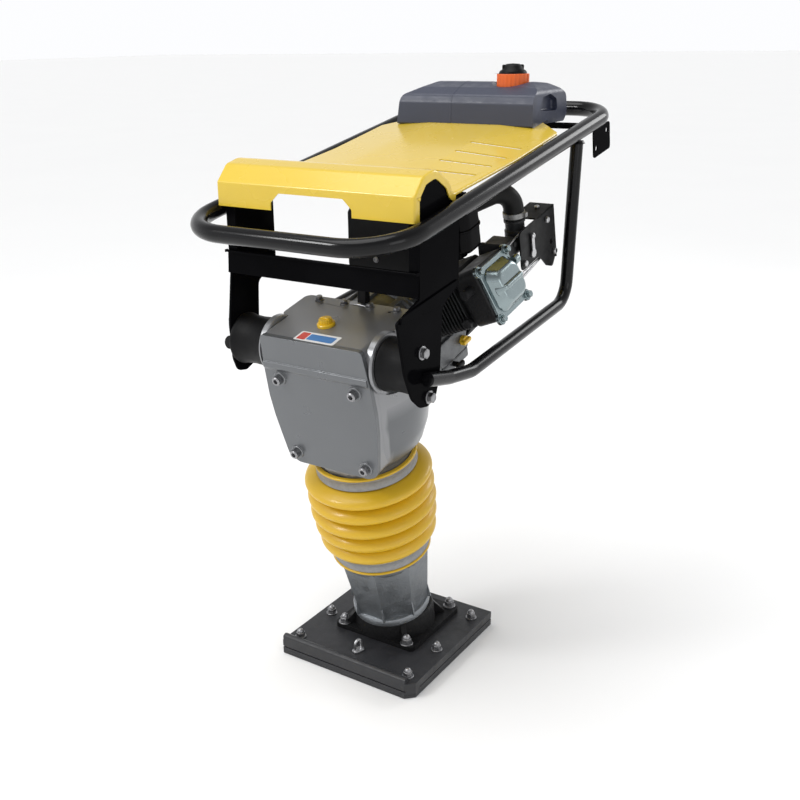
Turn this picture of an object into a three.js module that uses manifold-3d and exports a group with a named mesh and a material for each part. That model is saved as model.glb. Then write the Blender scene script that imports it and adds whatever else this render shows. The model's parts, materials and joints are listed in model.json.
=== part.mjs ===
// A jumping jack rammer: a petrol engine drives a crank gear whose rod works a spring-loaded ram,
// and the ram throws the shoe at the foot of the machine against the ground.
// Frame, in millimetres: +Z up, -Y the direction of travel, +X the engine's cylinder side.
// The origin is the centre of the sole. The leg axis leans forward, towards -Y.
import * as THREE from 'three';
import { mergeVertices } from 'three/addons/utils/BufferGeometryUtils.js';
import Module from 'manifold-3d';

const wasm = await Module();
wasm.setup();

// Driving dimensions
const GAP = 0.3;                       // air between pieces that touch
const SHOE = { width: 286, length: 297, height: 29, plate: 6 };
const LEG = { lean: THREE.MathUtils.degToRad(13.2), back: 29 };
const RAM = { inner: 50, outer: 58, low: 108, high: 395 };
const GUIDE = { inner: 62, outer: 74, low: 256, high: 440 };
const CLAMP = { radius: 88, thick: 2.5, lowerAt: 226, upperAt: 404, height: 20 };
const CASE = { top: 689, bottom: 446, front: -82, back: 60, cover: 9 };
const GEAR = { module: 3, wheelTeeth: 40, pinionTeeth: 12, width: 20, at: 12, wheelHeight: 523 };
const CRANK = { throw: 30, pin: 10, rodLength: 128 };
const SHAFT_HEIGHT = GEAR.wheelHeight + GEAR.module * (GEAR.wheelTeeth + GEAR.pinionTeeth) / 2;
const BELL = { radius: 84, wall: 6, from: CASE.back + GAP, to: 118 };
const ENGINE = { from: 118.3, to: 250, slant: THREE.MathUtils.degToRad(23.5) };
const HEAD = { from: 166, to: 210 };
const MOUNT = { v: -41, s: 646, ring: 50, rubber: 40, rubberLength: 68, to: 180 };
const PLATE = { x: 180.3, thick: 4.4 };
const RING = { half: 199, front: -292, rear: 511, height: 875, tilt: THREE.MathUtils.degToRad(10), tube: 14 };
const SIDE_TUBE = { radius: 11.5, top: 915 };
const HOOD = { half: 187, thick: 3, lip: 13, edge: 5, flat: 75, fall: 0.085, front: -84, full: 120 };
const TANK = { half: 139, left: 149, front: 273, rear: 420, bottom: 948, shelf: 962, top: 1021, seat: 1004 };

// Materials
const paint = (color, roughness = 0.45, metalness = 0.0) => ({ color, roughness, metalness });
const YELLOW = paint(0xf0bf1a, 0.35);
const BLACK_STEEL = paint(0x101112, 0.4, 0.2);
const CASTING = paint(0x8b8d90, 0.5, 0.6);
const BRIGHT_STEEL = paint(0xb9bcc0, 0.3, 0.9);
const SPRING_STEEL = paint(0x4a4d52, 0.4, 0.8);
const RUBBER = paint(0x0c0c0d, 0.8);
const BLACK_PLASTIC = paint(0x17181a, 0.55);
const TANK_PLASTIC = paint(0x4a5261, 0.5);
const ORANGE = paint(0xe0601c, 0.5);

// Solids and booleans
function closed(geometry) {
  const bare = geometry.index ? geometry.toNonIndexed() : geometry.clone();
  bare.deleteAttribute('normal');
  bare.deleteAttribute('uv');
  const merged = mergeVertices(bare, 1e-4);
  const position = merged.attributes.position;
  const index = merged.index.array;
  const kept = [];
  let volume = 0;
  const [a, b, c] = [new THREE.Vector3(), new THREE.Vector3(), new THREE.Vector3()];
  for (let i = 0; i < index.length; i += 3) {
    const [p, q, r] = [index[i], index[i + 1], index[i + 2]];
    if (p === q || q === r || r === p) continue;
    kept.push(p, q, r);
    volume += a.fromBufferAttribute(position, p).dot(
      b.fromBufferAttribute(position, q).cross(c.fromBufferAttribute(position, r)));
  }
  if (volume < 0) kept.reverse();
  merged.setIndex(kept);
  return merged;
}

function solid(geometry) {
  const body = closed(geometry);
  const vertProperties = new Float32Array(body.attributes.position.array);
  const triVerts = new Uint32Array(body.index.array);
  return new wasm.Manifold(new wasm.Mesh({ numProp: 3, vertProperties, triVerts }));
}

function geometryOf(manifold) {
  const mesh = manifold.getMesh();
  const geometry = new THREE.BufferGeometry();
  geometry.setAttribute('position', new THREE.BufferAttribute(new Float32Array(mesh.vertProperties), 3));
  geometry.setIndex(Array.from(mesh.triVerts));
  return geometry;
}

function join(first, ...others) {
  return geometryOf(others.reduce((sum, other) => sum.add(solid(other)), solid(first)));
}

function cut(base, ...tools) {
  return geometryOf(tools.reduce((rest, tool) => rest.subtract(solid(tool)), solid(base)));
}

function common(first, second) {
  return geometryOf(solid(first).intersect(solid(second)));
}

// Basic shapes, each placed where it belongs
function box(x0, x1, y0, y1, z0, z1) {
  return new THREE.BoxGeometry(x1 - x0, y1 - y0, z1 - z0)
    .translate((x0 + x1) / 2, (y0 + y1) / 2, (z0 + z1) / 2);
}

function outline(points) {
  return new THREE.Shape(points.map(([u, v]) => new THREE.Vector2(u, v)));
}

function prismX(shape, x0, x1) {
  const toYZ = new THREE.Matrix4().set(0, 0, 1, x0, 1, 0, 0, 0, 0, 1, 0, 0, 0, 0, 0, 1);
  return new THREE.ExtrudeGeometry(shape, { depth: x1 - x0, bevelEnabled: false, curveSegments: 3 })
    .applyMatrix4(toYZ);
}

function prismY(shape, y0, y1) {
  return new THREE.ExtrudeGeometry(shape, { depth: y1 - y0, bevelEnabled: false, curveSegments: 3 })
    .rotateX(Math.PI / 2)
    .translate(0, y1, 0);
}

function prismZ(shape, z0, z1) {
  return new THREE.ExtrudeGeometry(shape, { depth: z1 - z0, bevelEnabled: false, curveSegments: 3 })
    .translate(0, 0, z0);
}

function rodZ(radius, z0, z1, x = 0, y = 0, sides = 16, topRadius = radius) {
  return new THREE.CylinderGeometry(topRadius, radius, z1 - z0, sides)
    .rotateX(Math.PI / 2)
    .translate(x, y, (z0 + z1) / 2);
}

function rodY(radius, y0, y1, x, z, sides = 16, endRadius = radius) {
  return new THREE.CylinderGeometry(endRadius, radius, y1 - y0, sides)
    .translate(x, (y0 + y1) / 2, z);
}

function rodX(radius, x0, x1, y, z, sides = 16, endRadius = radius) {
  return new THREE.CylinderGeometry(endRadius, radius, x1 - x0, sides)
    .rotateZ(-Math.PI / 2)
    .translate((x0 + x1) / 2, y, z);
}

// A solid of revolution about +Z from [radius, height] pairs.
function turned(profile, sides = 24) {
  const points = profile.map(([r, z]) => new THREE.Vector2(r, z));
  return new THREE.LatheGeometry(points, sides).rotateX(Math.PI / 2);
}

function sleeve(inner, outer, z0, z1, sides = 24) {
  return turned([[inner, z0], [outer, z0], [outer, z1], [inner, z1], [inner, z0]], sides);
}

function roundedBox(width, length, radius) {
  const shape = new THREE.Shape();
  const [w, l] = [width / 2, length / 2];
  shape.moveTo(-w + radius, -l);
  shape.lineTo(w - radius, -l);
  shape.absarc(w - radius, -l + radius, radius, -Math.PI / 2, 0);
  shape.lineTo(w, l - radius);
  shape.absarc(w - radius, l - radius, radius, 0, Math.PI / 2);
  shape.lineTo(-w + radius, l);
  shape.absarc(-w + radius, l - radius, radius, Math.PI / 2, Math.PI);
  shape.lineTo(-w, -l + radius);
  shape.absarc(-w + radius, -l + radius, radius, Math.PI, 1.5 * Math.PI);
  return shape;
}

function tube(curve, radius, steps, sides = 12) {
  const section = new THREE.Shape();
  for (let i = 0; i < sides; i += 1) {
    const angle = 2 * Math.PI * i / sides;
    const [u, v] = [radius * Math.cos(angle), radius * Math.sin(angle)];
    if (i === 0) section.moveTo(u, v);
    else section.lineTo(u, v);
  }
  return new THREE.ExtrudeGeometry(section, { steps, extrudePath: curve, bevelEnabled: false });
}

// A path of straight runs with rounded corners; each corner is [x, y, z, bend radius].
function bentPath(corners) {
  const path = new THREE.CurvePath();
  const at = corners.map(([x, y, z]) => new THREE.Vector3(x, y, z));
  let start = at[0];
  for (let i = 1; i < corners.length - 1; i += 1) {
    const back = at[i - 1].clone().sub(at[i]).normalize();
    const ahead = at[i + 1].clone().sub(at[i]).normalize();
    const reach = corners[i][3] / Math.tan(back.angleTo(ahead) / 2);
    const enter = at[i].clone().addScaledVector(back, reach);
    const leave = at[i].clone().addScaledVector(ahead, reach);
    path.add(new THREE.LineCurve3(start, enter));
    path.add(new THREE.QuadraticBezierCurve3(enter, at[i], leave));
    start = leave;
  }
  path.add(new THREE.LineCurve3(start, at[at.length - 1]));
  return path;
}

function part(name, geometry, look) {
  const material = new THREE.MeshStandardMaterial(look);
  const mesh = new THREE.Mesh(closed(geometry), material);
  mesh.name = name;
  return mesh;
}

// Shoe, flat on the ground
const SHOE_STUDS = { x: 120, at: [-123, -23, 108] };
const FLANGE_STUDS = { x: 70, y: 79, centre: 31 };
const FLANGE = { half: 88, centre: 31, thick: 9 };
const STUD = { radius: 6, across: 11, nut: 9 };

function shoeOutline(inset = 0) {
  const [w, l, corner] = [SHOE.width / 2 - inset, SHOE.length / 2 - inset, 15];
  return outline([[-w, -l], [w - corner, -l], [w, -l + corner], [w, l], [-w, l]]);
}

function solePlate() {
  return prismZ(shoeOutline(), 0, SHOE.plate);
}

function shoeBody() {
  const lip = { from: -SHOE.length / 2, crest: 10, width: 14 };
  const nose = prismX(outline([
    [lip.from, SHOE.height - 8], [lip.from + 2, SHOE.height + lip.crest - 4],
    [lip.from + 6, SHOE.height + lip.crest], [lip.from + 10, SHOE.height + lip.crest - 1],
    [lip.from + lip.width, SHOE.height - 8],
  ]), -SHOE.width / 2 + 1, SHOE.width / 2 - 14);
  const slab = prismZ(shoeOutline(), SHOE.plate + GAP, SHOE.height);
  const groove = box(-200, 200, -SHOE.length / 2 - 1, -SHOE.length / 2 + 3, 13, 16);
  const holes = [];
  for (const side of [-1, 1]) {
    const [x0, x1] = [side * SHOE_STUDS.x - STUD.across, side * SHOE_STUDS.x + STUD.across];
    holes.push(box(x0, x1, -140, 125, SHOE.plate - 1, SHOE.plate + 6));
    for (const y of SHOE_STUDS.at) {
      holes.push(rodZ(STUD.radius + GAP, SHOE.plate, SHOE.height + 1, side * SHOE_STUDS.x, y, 8));
    }
    const fx = side * FLANGE_STUDS.x;
    holes.push(box(fx - STUD.across, fx + STUD.across, -64, 126, SHOE.plate - 1, SHOE.plate + 6));
    for (const end of [-1, 1]) {
      const y = FLANGE_STUDS.centre + end * FLANGE_STUDS.y;
      holes.push(rodZ(STUD.radius + GAP, SHOE.plate, SHOE.height + 1, fx, y, 8));
    }
  }
  return cut(join(slab, nose), groove, ...holes);
}

// A strip under the shoe that carries a row of studs, each with its washer and domed nut.
function studStrip(x, ys, base, y0, y1) {
  const strip = box(x - STUD.across + 0.5, x + STUD.across - 0.5, y0, y1, SHOE.plate + GAP, SHOE.plate + 5);
  const pieces = ys.flatMap((y) => [
    rodZ(STUD.radius, SHOE.plate + 2, base + 2, x, y, 8),
    rodZ(STUD.across, base + GAP, base + 2.6, x, y, 10),
    rodZ(STUD.nut, base + 2, base + 11, x, y, 6),
    rodZ(STUD.nut - 1.5, base + 10, base + 15, x, y, 8, 3.5),
  ]);
  return join(strip, ...pieces);
}

function legFlange() {
  const base = SHOE.height + GAP;
  const plate = prismZ(roundedBox(2 * FLANGE.half, 2 * FLANGE.half, 10), base, base + FLANGE.thick)
    .translate(0, FLANGE.centre, 0);
  const boss = rodZ(77, base + 2, base + 46, 0, 20, 32, 74);
  const webs = [-1, 1].flatMap((side) => [-1, 1].map((end) => {
    const web = prismX(outline([[0, base + 4], [66, base + 4], [66, base + 14], [0, base + 36]]), -4, 4);
    return web.rotateZ(end * side * Math.PI / 4 + (end < 0 ? Math.PI : 0)).translate(0, 20, 0);
  }));
  const holes = [-1, 1].flatMap((side) => [-1, 1].map((end) => rodZ(
    STUD.radius + GAP, base - 1, base + 20, side * FLANGE_STUDS.x,
    FLANGE_STUDS.centre + end * FLANGE_STUDS.y, 8)));
  const spotFaces = [-1, 1].flatMap((side) => [-1, 1].map((end) => rodZ(
    STUD.across + 1.5, base + FLANGE.thick, base + 80, side * FLANGE_STUDS.x,
    FLANGE_STUDS.centre + end * FLANGE_STUDS.y, 10)));
  const seat = rodZ(67, 60, 200, 0, 0, 24).rotateX(LEG.lean).translate(0, LEG.back, 0);
  const mouth = rodZ(76, 79, 200, 0, 0, 24).rotateX(LEG.lean).translate(0, LEG.back, 0);
  return cut(join(plate, boss, ...webs), seat, mouth, ...holes, ...spotFaces);
}

function liftingEye() {
  const base = SHOE.height + GAP;
  const ring = new THREE.TorusGeometry(9, 3, 10, 16).rotateZ(0.5).rotateX(Math.PI / 2);
  ring.translate(0, -104, base + 13.5);
  return join(box(-12, 12, -112, -96, base, base + 3), ring);
}

// Leg, built upright and leaned as one group
function castLeg() {
  const facets = new THREE.CylinderGeometry(86, 71, 140, 8).rotateX(Math.PI / 2).rotateZ(Math.PI / 8)
    .translate(0, 0, 150);
  const core = turned([[0, 61], [66, 61], [66, 84], [72, 84], [73, 92], [70, 98], [82, 214], [84, 218],
    [84, 258], [0, 258]]);
  const bore = rodZ(RAM.outer + GAP, 96, 300, 0, 0, 24);
  const well = rodZ(79, 186, 300, 0, 0, 24);
  return cut(join(core, facets), bore, well);
}

function ramCylinder() {
  return turned([[0, RAM.low - 8], [RAM.outer, RAM.low - 8], [RAM.outer, RAM.high - 14],
    [RAM.inner, RAM.high - 14], [RAM.inner, RAM.low], [0, RAM.low], [0, RAM.low - 8]]);
}

function ramCap() {
  const [low, high] = [RAM.high - 14 + GAP, RAM.high];
  return turned([[14, low - 16], [RAM.inner - GAP, low - 16], [RAM.inner - GAP, low],
    [RAM.outer, low], [RAM.outer, high], [14, high], [14, low - 16]]);
}

function coilSpring(low, high, turns) {
  const [radius, wire] = [37, 5];
  class Helix extends THREE.Curve {
    getPoint(t) {
      const angle = 2 * Math.PI * turns * t;
      return new THREE.Vector3(
        radius * Math.cos(angle), radius * Math.sin(angle), low + wire + (high - low - 2 * wire) * t);
    }
  }
  return tube(new Helix(), wire, turns * 8, 5);
}

function piston() {
  return turned([[0, 246], [RAM.inner - 2, 246], [RAM.inner - 2, 262], [13, 262], [13, 350], [0, 350]]);
}

function guideCylinder() {
  return sleeve(GUIDE.inner, GUIDE.outer, GUIDE.low, GUIDE.high);
}

function bandClamp(low, angle) {
  const { radius, thick, height } = CLAMP;
  const band = sleeve(radius, radius + thick, low, low + height);
  const lug = box(radius + 1, radius + 14, -9, 9, low + 3, low + height - 3);
  const screw = rodY(3.5, -20, 20, radius + 9, low + height / 2, 8);
  return join(band, lug, screw).rotateZ(angle);
}

function bellows() {
  const [low, high, waves] = [CLAMP.lowerAt - 5, CLAMP.upperAt + CLAMP.height + 5, 5];
  const neck = CLAMP.radius - GAP;
  const inner = neck - 3;
  const from = CLAMP.lowerAt + CLAMP.height + 2;
  const to = CLAMP.upperAt - 2;
  const crest = (t) => 20 + 6 * Math.sin(Math.PI * Math.min(1, t * 1.1));
  const outside = [[inner, low], [neck + 3, low], [neck + 3, low + 4.4], [neck, low + 4.5], [neck, from]];
  const steps = waves * 4;
  for (let i = 1; i < steps; i += 1) {
    const t = i / steps;
    const swell = 0.5 - 0.5 * Math.cos(2 * Math.PI * waves * t);
    const radius = neck + crest(t) * Math.pow(swell, 0.7);
    outside.push([radius, from + (to - from) * t]);
  }
  outside.push([neck, to], [neck, high - 4.5], [neck + 3, high - 4.4], [neck + 3, high], [inner, high]);
  return turned([...outside, [inner, low]], 24);
}

// Gearbox housing and its cover
function coverOutline(grow = 0) {
  const half = [[100, 689], [105, 634], [106, 575], [103, 535], [98, 500], [92, 466], [82, 450], [60, 446]];
  const right = half.map(([x, z]) => [x + grow, z === 689 ? z : z - grow * 0.3]);
  const left = right.slice().reverse().map(([x, z]) => [-x, z]);
  return outline([...right, ...left]);
}

function gearHousing() {
  const barrel = turned([[0, 398], [82, 398], [83, 428], [86, 440], [108, 462], [122, 500], [129, 545],
    [129, 600], [120, 640], [104, 668], [0, 668]]);
  const trim = box(-140, 140, CASE.front, CASE.back, 380, 700);
  const shell = prismY(coverOutline(), CASE.front, CASE.back);
  const flat = box(-112, 112, CASE.front + 18, CASE.back, 600, CASE.top);
  const bell = rodY(BELL.radius + 6, CASE.back - 12, CASE.back, 0, SHAFT_HEIGHT, 24);
  const chamber = box(-86, 86, CASE.front - 1, 48, 458, 676);
  const neck = rodZ(GUIDE.outer + GAP, 390, GUIDE.high + GAP, 0, 0, 24);
  const throat = rodZ(GUIDE.inner, 430, 470, 0, 0, 24);
  const pinionBore = rodY(26, 30, 80, 0, SHAFT_HEIGHT, 24);
  const wheelBore = rodY(22, 30, 56, 0, GEAR.wheelHeight, 24);
  const filler = rodZ(9, 670, 700, -9, -29, 16);
  const breather = rodZ(3.5, 670, 700, 68, 42, 12);
  const seatAt = MOUNT.to - MOUNT.rubberLength;
  const boss = rodX(MOUNT.ring, 98, seatAt, MOUNT.v, MOUNT.s, 24);
  const seat = rodX(MOUNT.ring, seatAt, 140, MOUNT.v, MOUNT.s, 24);
  const body = join(common(barrel, trim), shell, flat, bell, boss, boss.clone().scale(-1, 1, 1));
  const seats = [seat, seat.clone().scale(-1, 1, 1)];
  const ahead = box(-108, 108, CASE.front - 60, CASE.front, 400, 720);
  return cut(body, ahead, ...seats, chamber, neck, throat, pinionBore, wheelBore, filler, breather);
}

const COVER_BOLTS = [[-75, 612], [75, 612], [-71, 468], [71, 468]];

function frontCover() {
  const [back, face] = [CASE.front - GAP, CASE.front - GAP - CASE.cover];
  const plate = prismY(coverOutline(1), face, back);
  const ridge = outline([[face - 3, 631], [face + 2, 622], [face + 2, 640], [face - 3, 637]]);
  const bar = prismX(ridge, -103, 103);
  const bosses = COVER_BOLTS.map(([x, z]) => rodY(12, face - 3, face + 2, x, z, 16));
  const holes = COVER_BOLTS.map(([x, z]) => rodY(5.3, face - 10, back + 1, x, z, 12));
  return cut(join(plate, bar, ...bosses), ...holes);
}

function coverBolt([x, z]) {
  const face = CASE.front - GAP - CASE.cover - 3 - GAP;
  const shank = rodY(4.8, face - 1, CASE.front - 1, x, z, 12);
  const head = rodY(8, face - 9, face, x, z, 16);
  const socket = rodY(4, face - 10, face - 4, x, z, 6);
  return cut(join(shank, head), socket);
}

function fillerPlug() {
  const seat = CASE.top + GAP;
  return join(rodZ(8.5, 676, seat + 1, -9, -29, 16), rodZ(15, seat, seat + 6, -9, -29, 16),
    rodZ(10.5, seat + 5, seat + 13, -9, -29, 6));
}

// Gears: straight-sided teeth with running backlash
function toothedWheel(teeth, firstTooth) {
  const pitch = GEAR.module * teeth / 2;
  const step = 2 * Math.PI / teeth;
  const corners = [[-0.30, -1.2], [-0.12, 0.85], [0.12, 0.85], [0.30, -1.2]];
  const points = [];
  for (let i = 0; i < teeth; i += 1) {
    for (const [turn, height] of corners) {
      const angle = firstTooth + (i + turn) * step;
      const radius = pitch + height * GEAR.module;
      points.push([radius * Math.cos(angle), radius * Math.sin(angle)]);
    }
  }
  return outline(points);
}

function crankGear() {
  const [from, to] = [GEAR.at, GEAR.at + GEAR.width];
  const wheel = prismY(toothedWheel(GEAR.wheelTeeth, Math.PI / 2), from, to)
    .translate(0, 0, GEAR.wheelHeight);
  const hub = rodY(16, to - 1, 55, 0, GEAR.wheelHeight, 16);
  return join(wheel, hub);
}

function bearing(inner, outer, from, to, height) {
  return sleeve(inner, outer, from, to, 16).rotateX(-Math.PI / 2).translate(0, 0, height);
}

function pinionShaft() {
  const [from, to] = [GEAR.at, GEAR.at + GEAR.width];
  const pinion = prismY(toothedWheel(GEAR.pinionTeeth, -Math.PI / 2 + Math.PI / GEAR.pinionTeeth), from, to)
    .translate(0, 0, SHAFT_HEIGHT);
  return join(pinion, rodY(11, to - 1, 76, 0, SHAFT_HEIGHT, 16));
}

function connectingRod() {
  const pinHeight = GEAR.wheelHeight - CRANK.throw;
  const eye = rodY(19, -9, 9, 0, pinHeight, 16);
  const beam = box(-8, 8, -6, 6, pinHeight - CRANK.rodLength - 4, pinHeight - 15);
  const pin = rodY(CRANK.pin, -11, 11, 0, pinHeight, 16);
  const fork = rodY(10, -7, 7, 0, pinHeight - CRANK.rodLength, 16);
  return join(eye, beam, fork, pin);
}

// Clutch and engine shaft, in line with the pinion
function clutchDrum() {
  return turned([[0, 76.3], [70, 76.3], [70, 108], [64, 108], [64, 82], [0, 82], [0, 76.3]])
    .rotateX(-Math.PI / 2).translate(0, 0, SHAFT_HEIGHT);
}

function clutchShoe(side) {
  const ring = sleeve(24, 61, 85, 103, 28).rotateX(-Math.PI / 2).translate(0, 0, SHAFT_HEIGHT);
  const half = side > 0 ? box(3, 80, 80, 110, 500, 700) : box(-80, -3, 80, 110, 500, 700);
  return common(ring, half);
}

function clutchHousing() {
  const ring = sleeve(BELL.radius - BELL.wall, BELL.radius, BELL.from, BELL.to, 24)
    .rotateX(-Math.PI / 2).translate(0, 0, SHAFT_HEIGHT);
  const under = SHAFT_HEIGHT - BELL.radius;
  const foot = box(-60, 60, BELL.from, BELL.to, under - 6, under + 8);
  const inside = rodY(BELL.radius - BELL.wall, BELL.from - 1, BELL.to + 1, 0, SHAFT_HEIGHT, 24);
  return cut(join(ring, foot), inside);
}

function engineShaft() {
  return join(rodY(12, 84, 262, 0, SHAFT_HEIGHT, 16), rodY(22, 84, 108, 0, SHAFT_HEIGHT, 16));
}

function flywheel() {
  const hole = rodY(12 + GAP, 240, 300, 0, SHAFT_HEIGHT, 16);
  return cut(join(rodY(72, 264, 286, 0, SHAFT_HEIGHT, 24), rodY(20, 254, 286, 0, SHAFT_HEIGHT, 16)), hole);
}

// The cylinder's own direction, slanted up towards +X, with the shaft at its root
function slanted(geometry) {
  return geometry.rotateY(-ENGINE.slant).translate(0, 0, SHAFT_HEIGHT);
}

function engineBlock() {
  const outside = prismY(outline([
    [-62, -72], [64, -72], [82, -54], [82, 30], [58, 74], [-30, 74], [-74, 40], [-74, -54],
  ]), ENGINE.from, ENGINE.to).translate(0, 0, SHAFT_HEIGHT);
  const base = box(-70, 92, ENGINE.from + 8, ENGINE.to - 14, SHAFT_HEIGHT - 88, SHAFT_HEIGHT - 66);
  const shaftBore = rodY(12 + GAP, ENGINE.from - 1, ENGINE.to + 1, 0, SHAFT_HEIGHT, 16);
  const barrelSeat = slanted(box(68, 120, 136, 252, -60, 60));
  const sump = prismX(roundedBox(96, 46, 12), 70, 92).translate(0, 182, SHAFT_HEIGHT - 46);
  return join(cut(join(outside, base), shaftBore, barrelSeat), sump);
}

function finnedCylinder() {
  const core = box(68 + GAP, HEAD.to, 146, 236, -40, 44);
  const fins = Array.from({ length: 8 }, (_, i) => box(82 + 10 * i, 85.5 + 10 * i, 138, 246, -46, 54));
  const flange = box(68 + GAP, 76, 140, 240, -46, 50);
  const head = box(HEAD.from, HEAD.to, 140, 244, -48, 50);
  return slanted(join(core, flange, head, ...fins));
}

function valveCover() {
  const rim = prismX(roundedBox(112, 104, 16), HEAD.to + GAP, HEAD.to + 8).translate(0, 192, 0);
  const dome = prismX(roundedBox(92, 82, 16), HEAD.to + 7, HEAD.to + 28).translate(0, 192, 0);
  const ridge = box(HEAD.to + 20, HEAD.to + 33, 172, 212, -8, 8);
  return slanted(join(rim, dome, ridge));
}

function recoilCover() {
  const shell = turned([[0, 312], [40, 312], [58, 306], [92, 300], [100, 292], [100, ENGINE.to + GAP],
    [94, ENGINE.to + GAP], [94, 288], [88, 294], [56, 300], [0, 304]], 24)
    .rotateX(-Math.PI / 2).translate(0, 0, SHAFT_HEIGHT);
  return cut(shell, rodY(9, 290, 320, 0, SHAFT_HEIGHT + 74, 16));
}

function pullGrip() {
  const stem = rodY(5, 316, 330, 0, SHAFT_HEIGHT + 74, 12);
  return join(stem, prismY(roundedBox(80, 18, 8), 328, 346).translate(0, 0, SHAFT_HEIGHT + 74));
}

function carburettor() {
  const body = box(126, 170, 254, 300, 668, 723);
  const flange = box(122, 174, 251, 256, 662, 728);
  const outlet = box(131, 169, 298, 357, 678, 716);
  const neck = rodZ(19, 714, 740, 150, 338, 16);
  return join(body, flange, outlet, neck);
}

// A bent bracket beside the carburettor: side plate, top flange and rear flange
function controlBox() {
  const sheet = box(176, 180, 296, 436, 618, 732);
  return join(sheet, box(132, 180, 362, 436, 728, 732), box(146, 180, 432, 436, 630, 732));
}

function intakeHose() {
  const route = bentPath([[150, 338, 741, 0], [150, 338, 800, 36], [50, 195, 776, 50], [50, 137, 789.6, 0]]);
  return tube(route, 18, 14, 8);
}

// Stands upright over the leaning case, on two posts
function airCleaner() {
  const shell = box(-4, 150, -100, -20, 746, 850);
  const posts = [10, 136].map((x) => box(x - 8, x + 8, -84, -70, 687, 748));
  return join(shell, ...posts).translate(0, -LEG.back, 0).rotateX(-LEG.lean);
}

function muffler() {
  const shell = prismZ(roundedBox(64, 62, 14), 748, 824);
  const tailpipe = rodY(11, 210, 236, 128, 786, 16);
  return join(shell.translate(128, 181, 0), tailpipe, rodZ(12, 735, 750, 128, 181, 16));
}

function throttleLever() {
  return join(rodX(8, 180 + GAP, 186, 338, 678, 16), box(182, 185, 333, 343, 678, 716));
}

// Rubber mounts and the handle frame that hangs on them
function shockMount(side) {
  const from = MOUNT.to - MOUNT.rubberLength + GAP;
  return rodX(MOUNT.rubber, from, MOUNT.to, MOUNT.v, MOUNT.s, 24).scale(side, 1, 1);
}

// The left plate reaches forward under the cross bar, the right one is straight
function sidePlate(side) {
  const arch = [[-184, 736], [-184, 880], [-174, 900], [-155, 912], [-132, 913], [-117, 904], [-107, 889],
    [-99, 874], [-68, 872], [-68, 742], [-117, 709], [-124, 602], [-136, 572], [-160, 562], [-182, 566]];
  const lower = side > 0 ? [[-206, 586], [-226, 630], [-246, 714]] : [[-192, 590], [-196, 650]];
  const plate = prismX(outline([...arch, ...lower]), PLATE.x, PLATE.x + PLATE.thick);
  const lip = box(PLATE.x - 14, PLATE.x + 1, -184, -180, 742, 846);
  return join(plate, lip).scale(side, 1, 1);
}

function crossBar() {
  const end = PLATE.x + PLATE.thick;
  return join(box(-end, end, -188, -184.3, 738, 776), box(-end, end, -192, -187, 772, 776));
}

function handleRing() {
  const { half, front, rear, tube: radius } = RING;
  const corner = { front: 92, rear: 78 };
  const frontHalf = bentPath([[-half, 101, 0, 0], [-half, front, 0, corner.front],
    [half, front, 0, corner.front], [half, 101, 0, 0]]);
  const rearHalf = bentPath([[half, 99, 0, 0], [half, rear, 0, corner.rear],
    [-half, rear, 0, corner.rear], [-half, 99, 0, 0]]);
  return join(tube(frontHalf, radius, 26, 8), tube(rearHalf, radius, 26, 8));
}

function sideTube(side) {
  const low = PLATE.x + PLATE.thick + SIDE_TUBE.radius + GAP;
  const route = bentPath([[RING.half, 334, SIDE_TUBE.top, 0], [RING.half, 312, 632, 46],
    [RING.half, -50, 592, 60], [low, -118, 600, 60], [low, -182, 614, 0]]);
  return tube(route, SIDE_TUBE.radius, 24, 8).scale(side, 1, 1);
}

function throttleBracket() {
  const shape = roundedBox(78, 52, 6);
  shape.holes.push(new THREE.Path().absarc(24, 12, 5, 0, 2 * Math.PI, true));
  shape.holes.push(new THREE.Path().absarc(-26, -10, 5, 0, 2 * Math.PI, true));
  return prismX(shape, 0, 3);
}

// Hood: one pressed sheet, arched over the front and rising from there to the tank.
// Behind the arch its sides fall away from the flat middle.
function crowned(points) {
  const bands = [[-HOOD.half, -HOOD.flat], [-HOOD.flat, HOOD.flat], [HOOD.flat, HOOD.half]];
  return join(...bands.map(([x0, x1]) => {
    const band = prismX(outline(points), x0, x1);
    const { position } = band.attributes;
    for (let i = 0; i < position.count; i += 1) {
      const outboard = Math.max(0, Math.abs(position.getX(i)) - HOOD.flat);
      const fade = THREE.MathUtils.clamp((position.getY(i) - HOOD.front) / (HOOD.full - HOOD.front), 0, 1);
      position.setZ(i, position.getZ(i) - HOOD.fall * outboard * fade);
    }
    return band;
  }));
}

function hood() {
  const outer = [[-200, 850], [-200, 888], [-176, 913], [-152, 921], [-130, 921], [-112, 912], [-101, 897],
    [-94, 885], [HOOD.front, 881], [HOOD.full, 919.4], [330, 959]];
  const under = (depths) => outer.map(([y, z], i) => {
    const [before, after] = [outer[Math.max(0, i - 1)], outer[Math.min(outer.length - 1, i + 1)]];
    const along = new THREE.Vector2(after[0] - before[0], after[1] - before[1]).normalize();
    const depth = y < HOOD.front ? depths[0] : depths[1];
    return [y + along.y * depth, z - along.x * depth];
  }).reverse();
  const sheet = crowned([...outer, ...under([HOOD.thick, HOOD.thick])]);
  const sides = cut(crowned([...outer, ...under([HOOD.lip, HOOD.edge])]),
    box(2 - HOOD.half, HOOD.half - 2, -300, 400, 800, 1000));
  const mouth = prismY(outline([[-77, 840], [77, 840], [77, 862], [60, 876], [-60, 876], [-77, 862]]),
    -210, -180);
  const slots = Array.from({ length: 4 }, (_, i) => {
    const at = 7 + 53 * i;
    return box(73, 172, at - 4, at + 4, 880, 980);
  });
  const corner = prismZ(outline([[120, 332], [188, 272], [188, 340], [120, 340]]), 850, 1000);
  return cut(join(sheet, sides), mouth, ...slots, corner, corner.clone().scale(-1, 1, 1));
}

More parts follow.
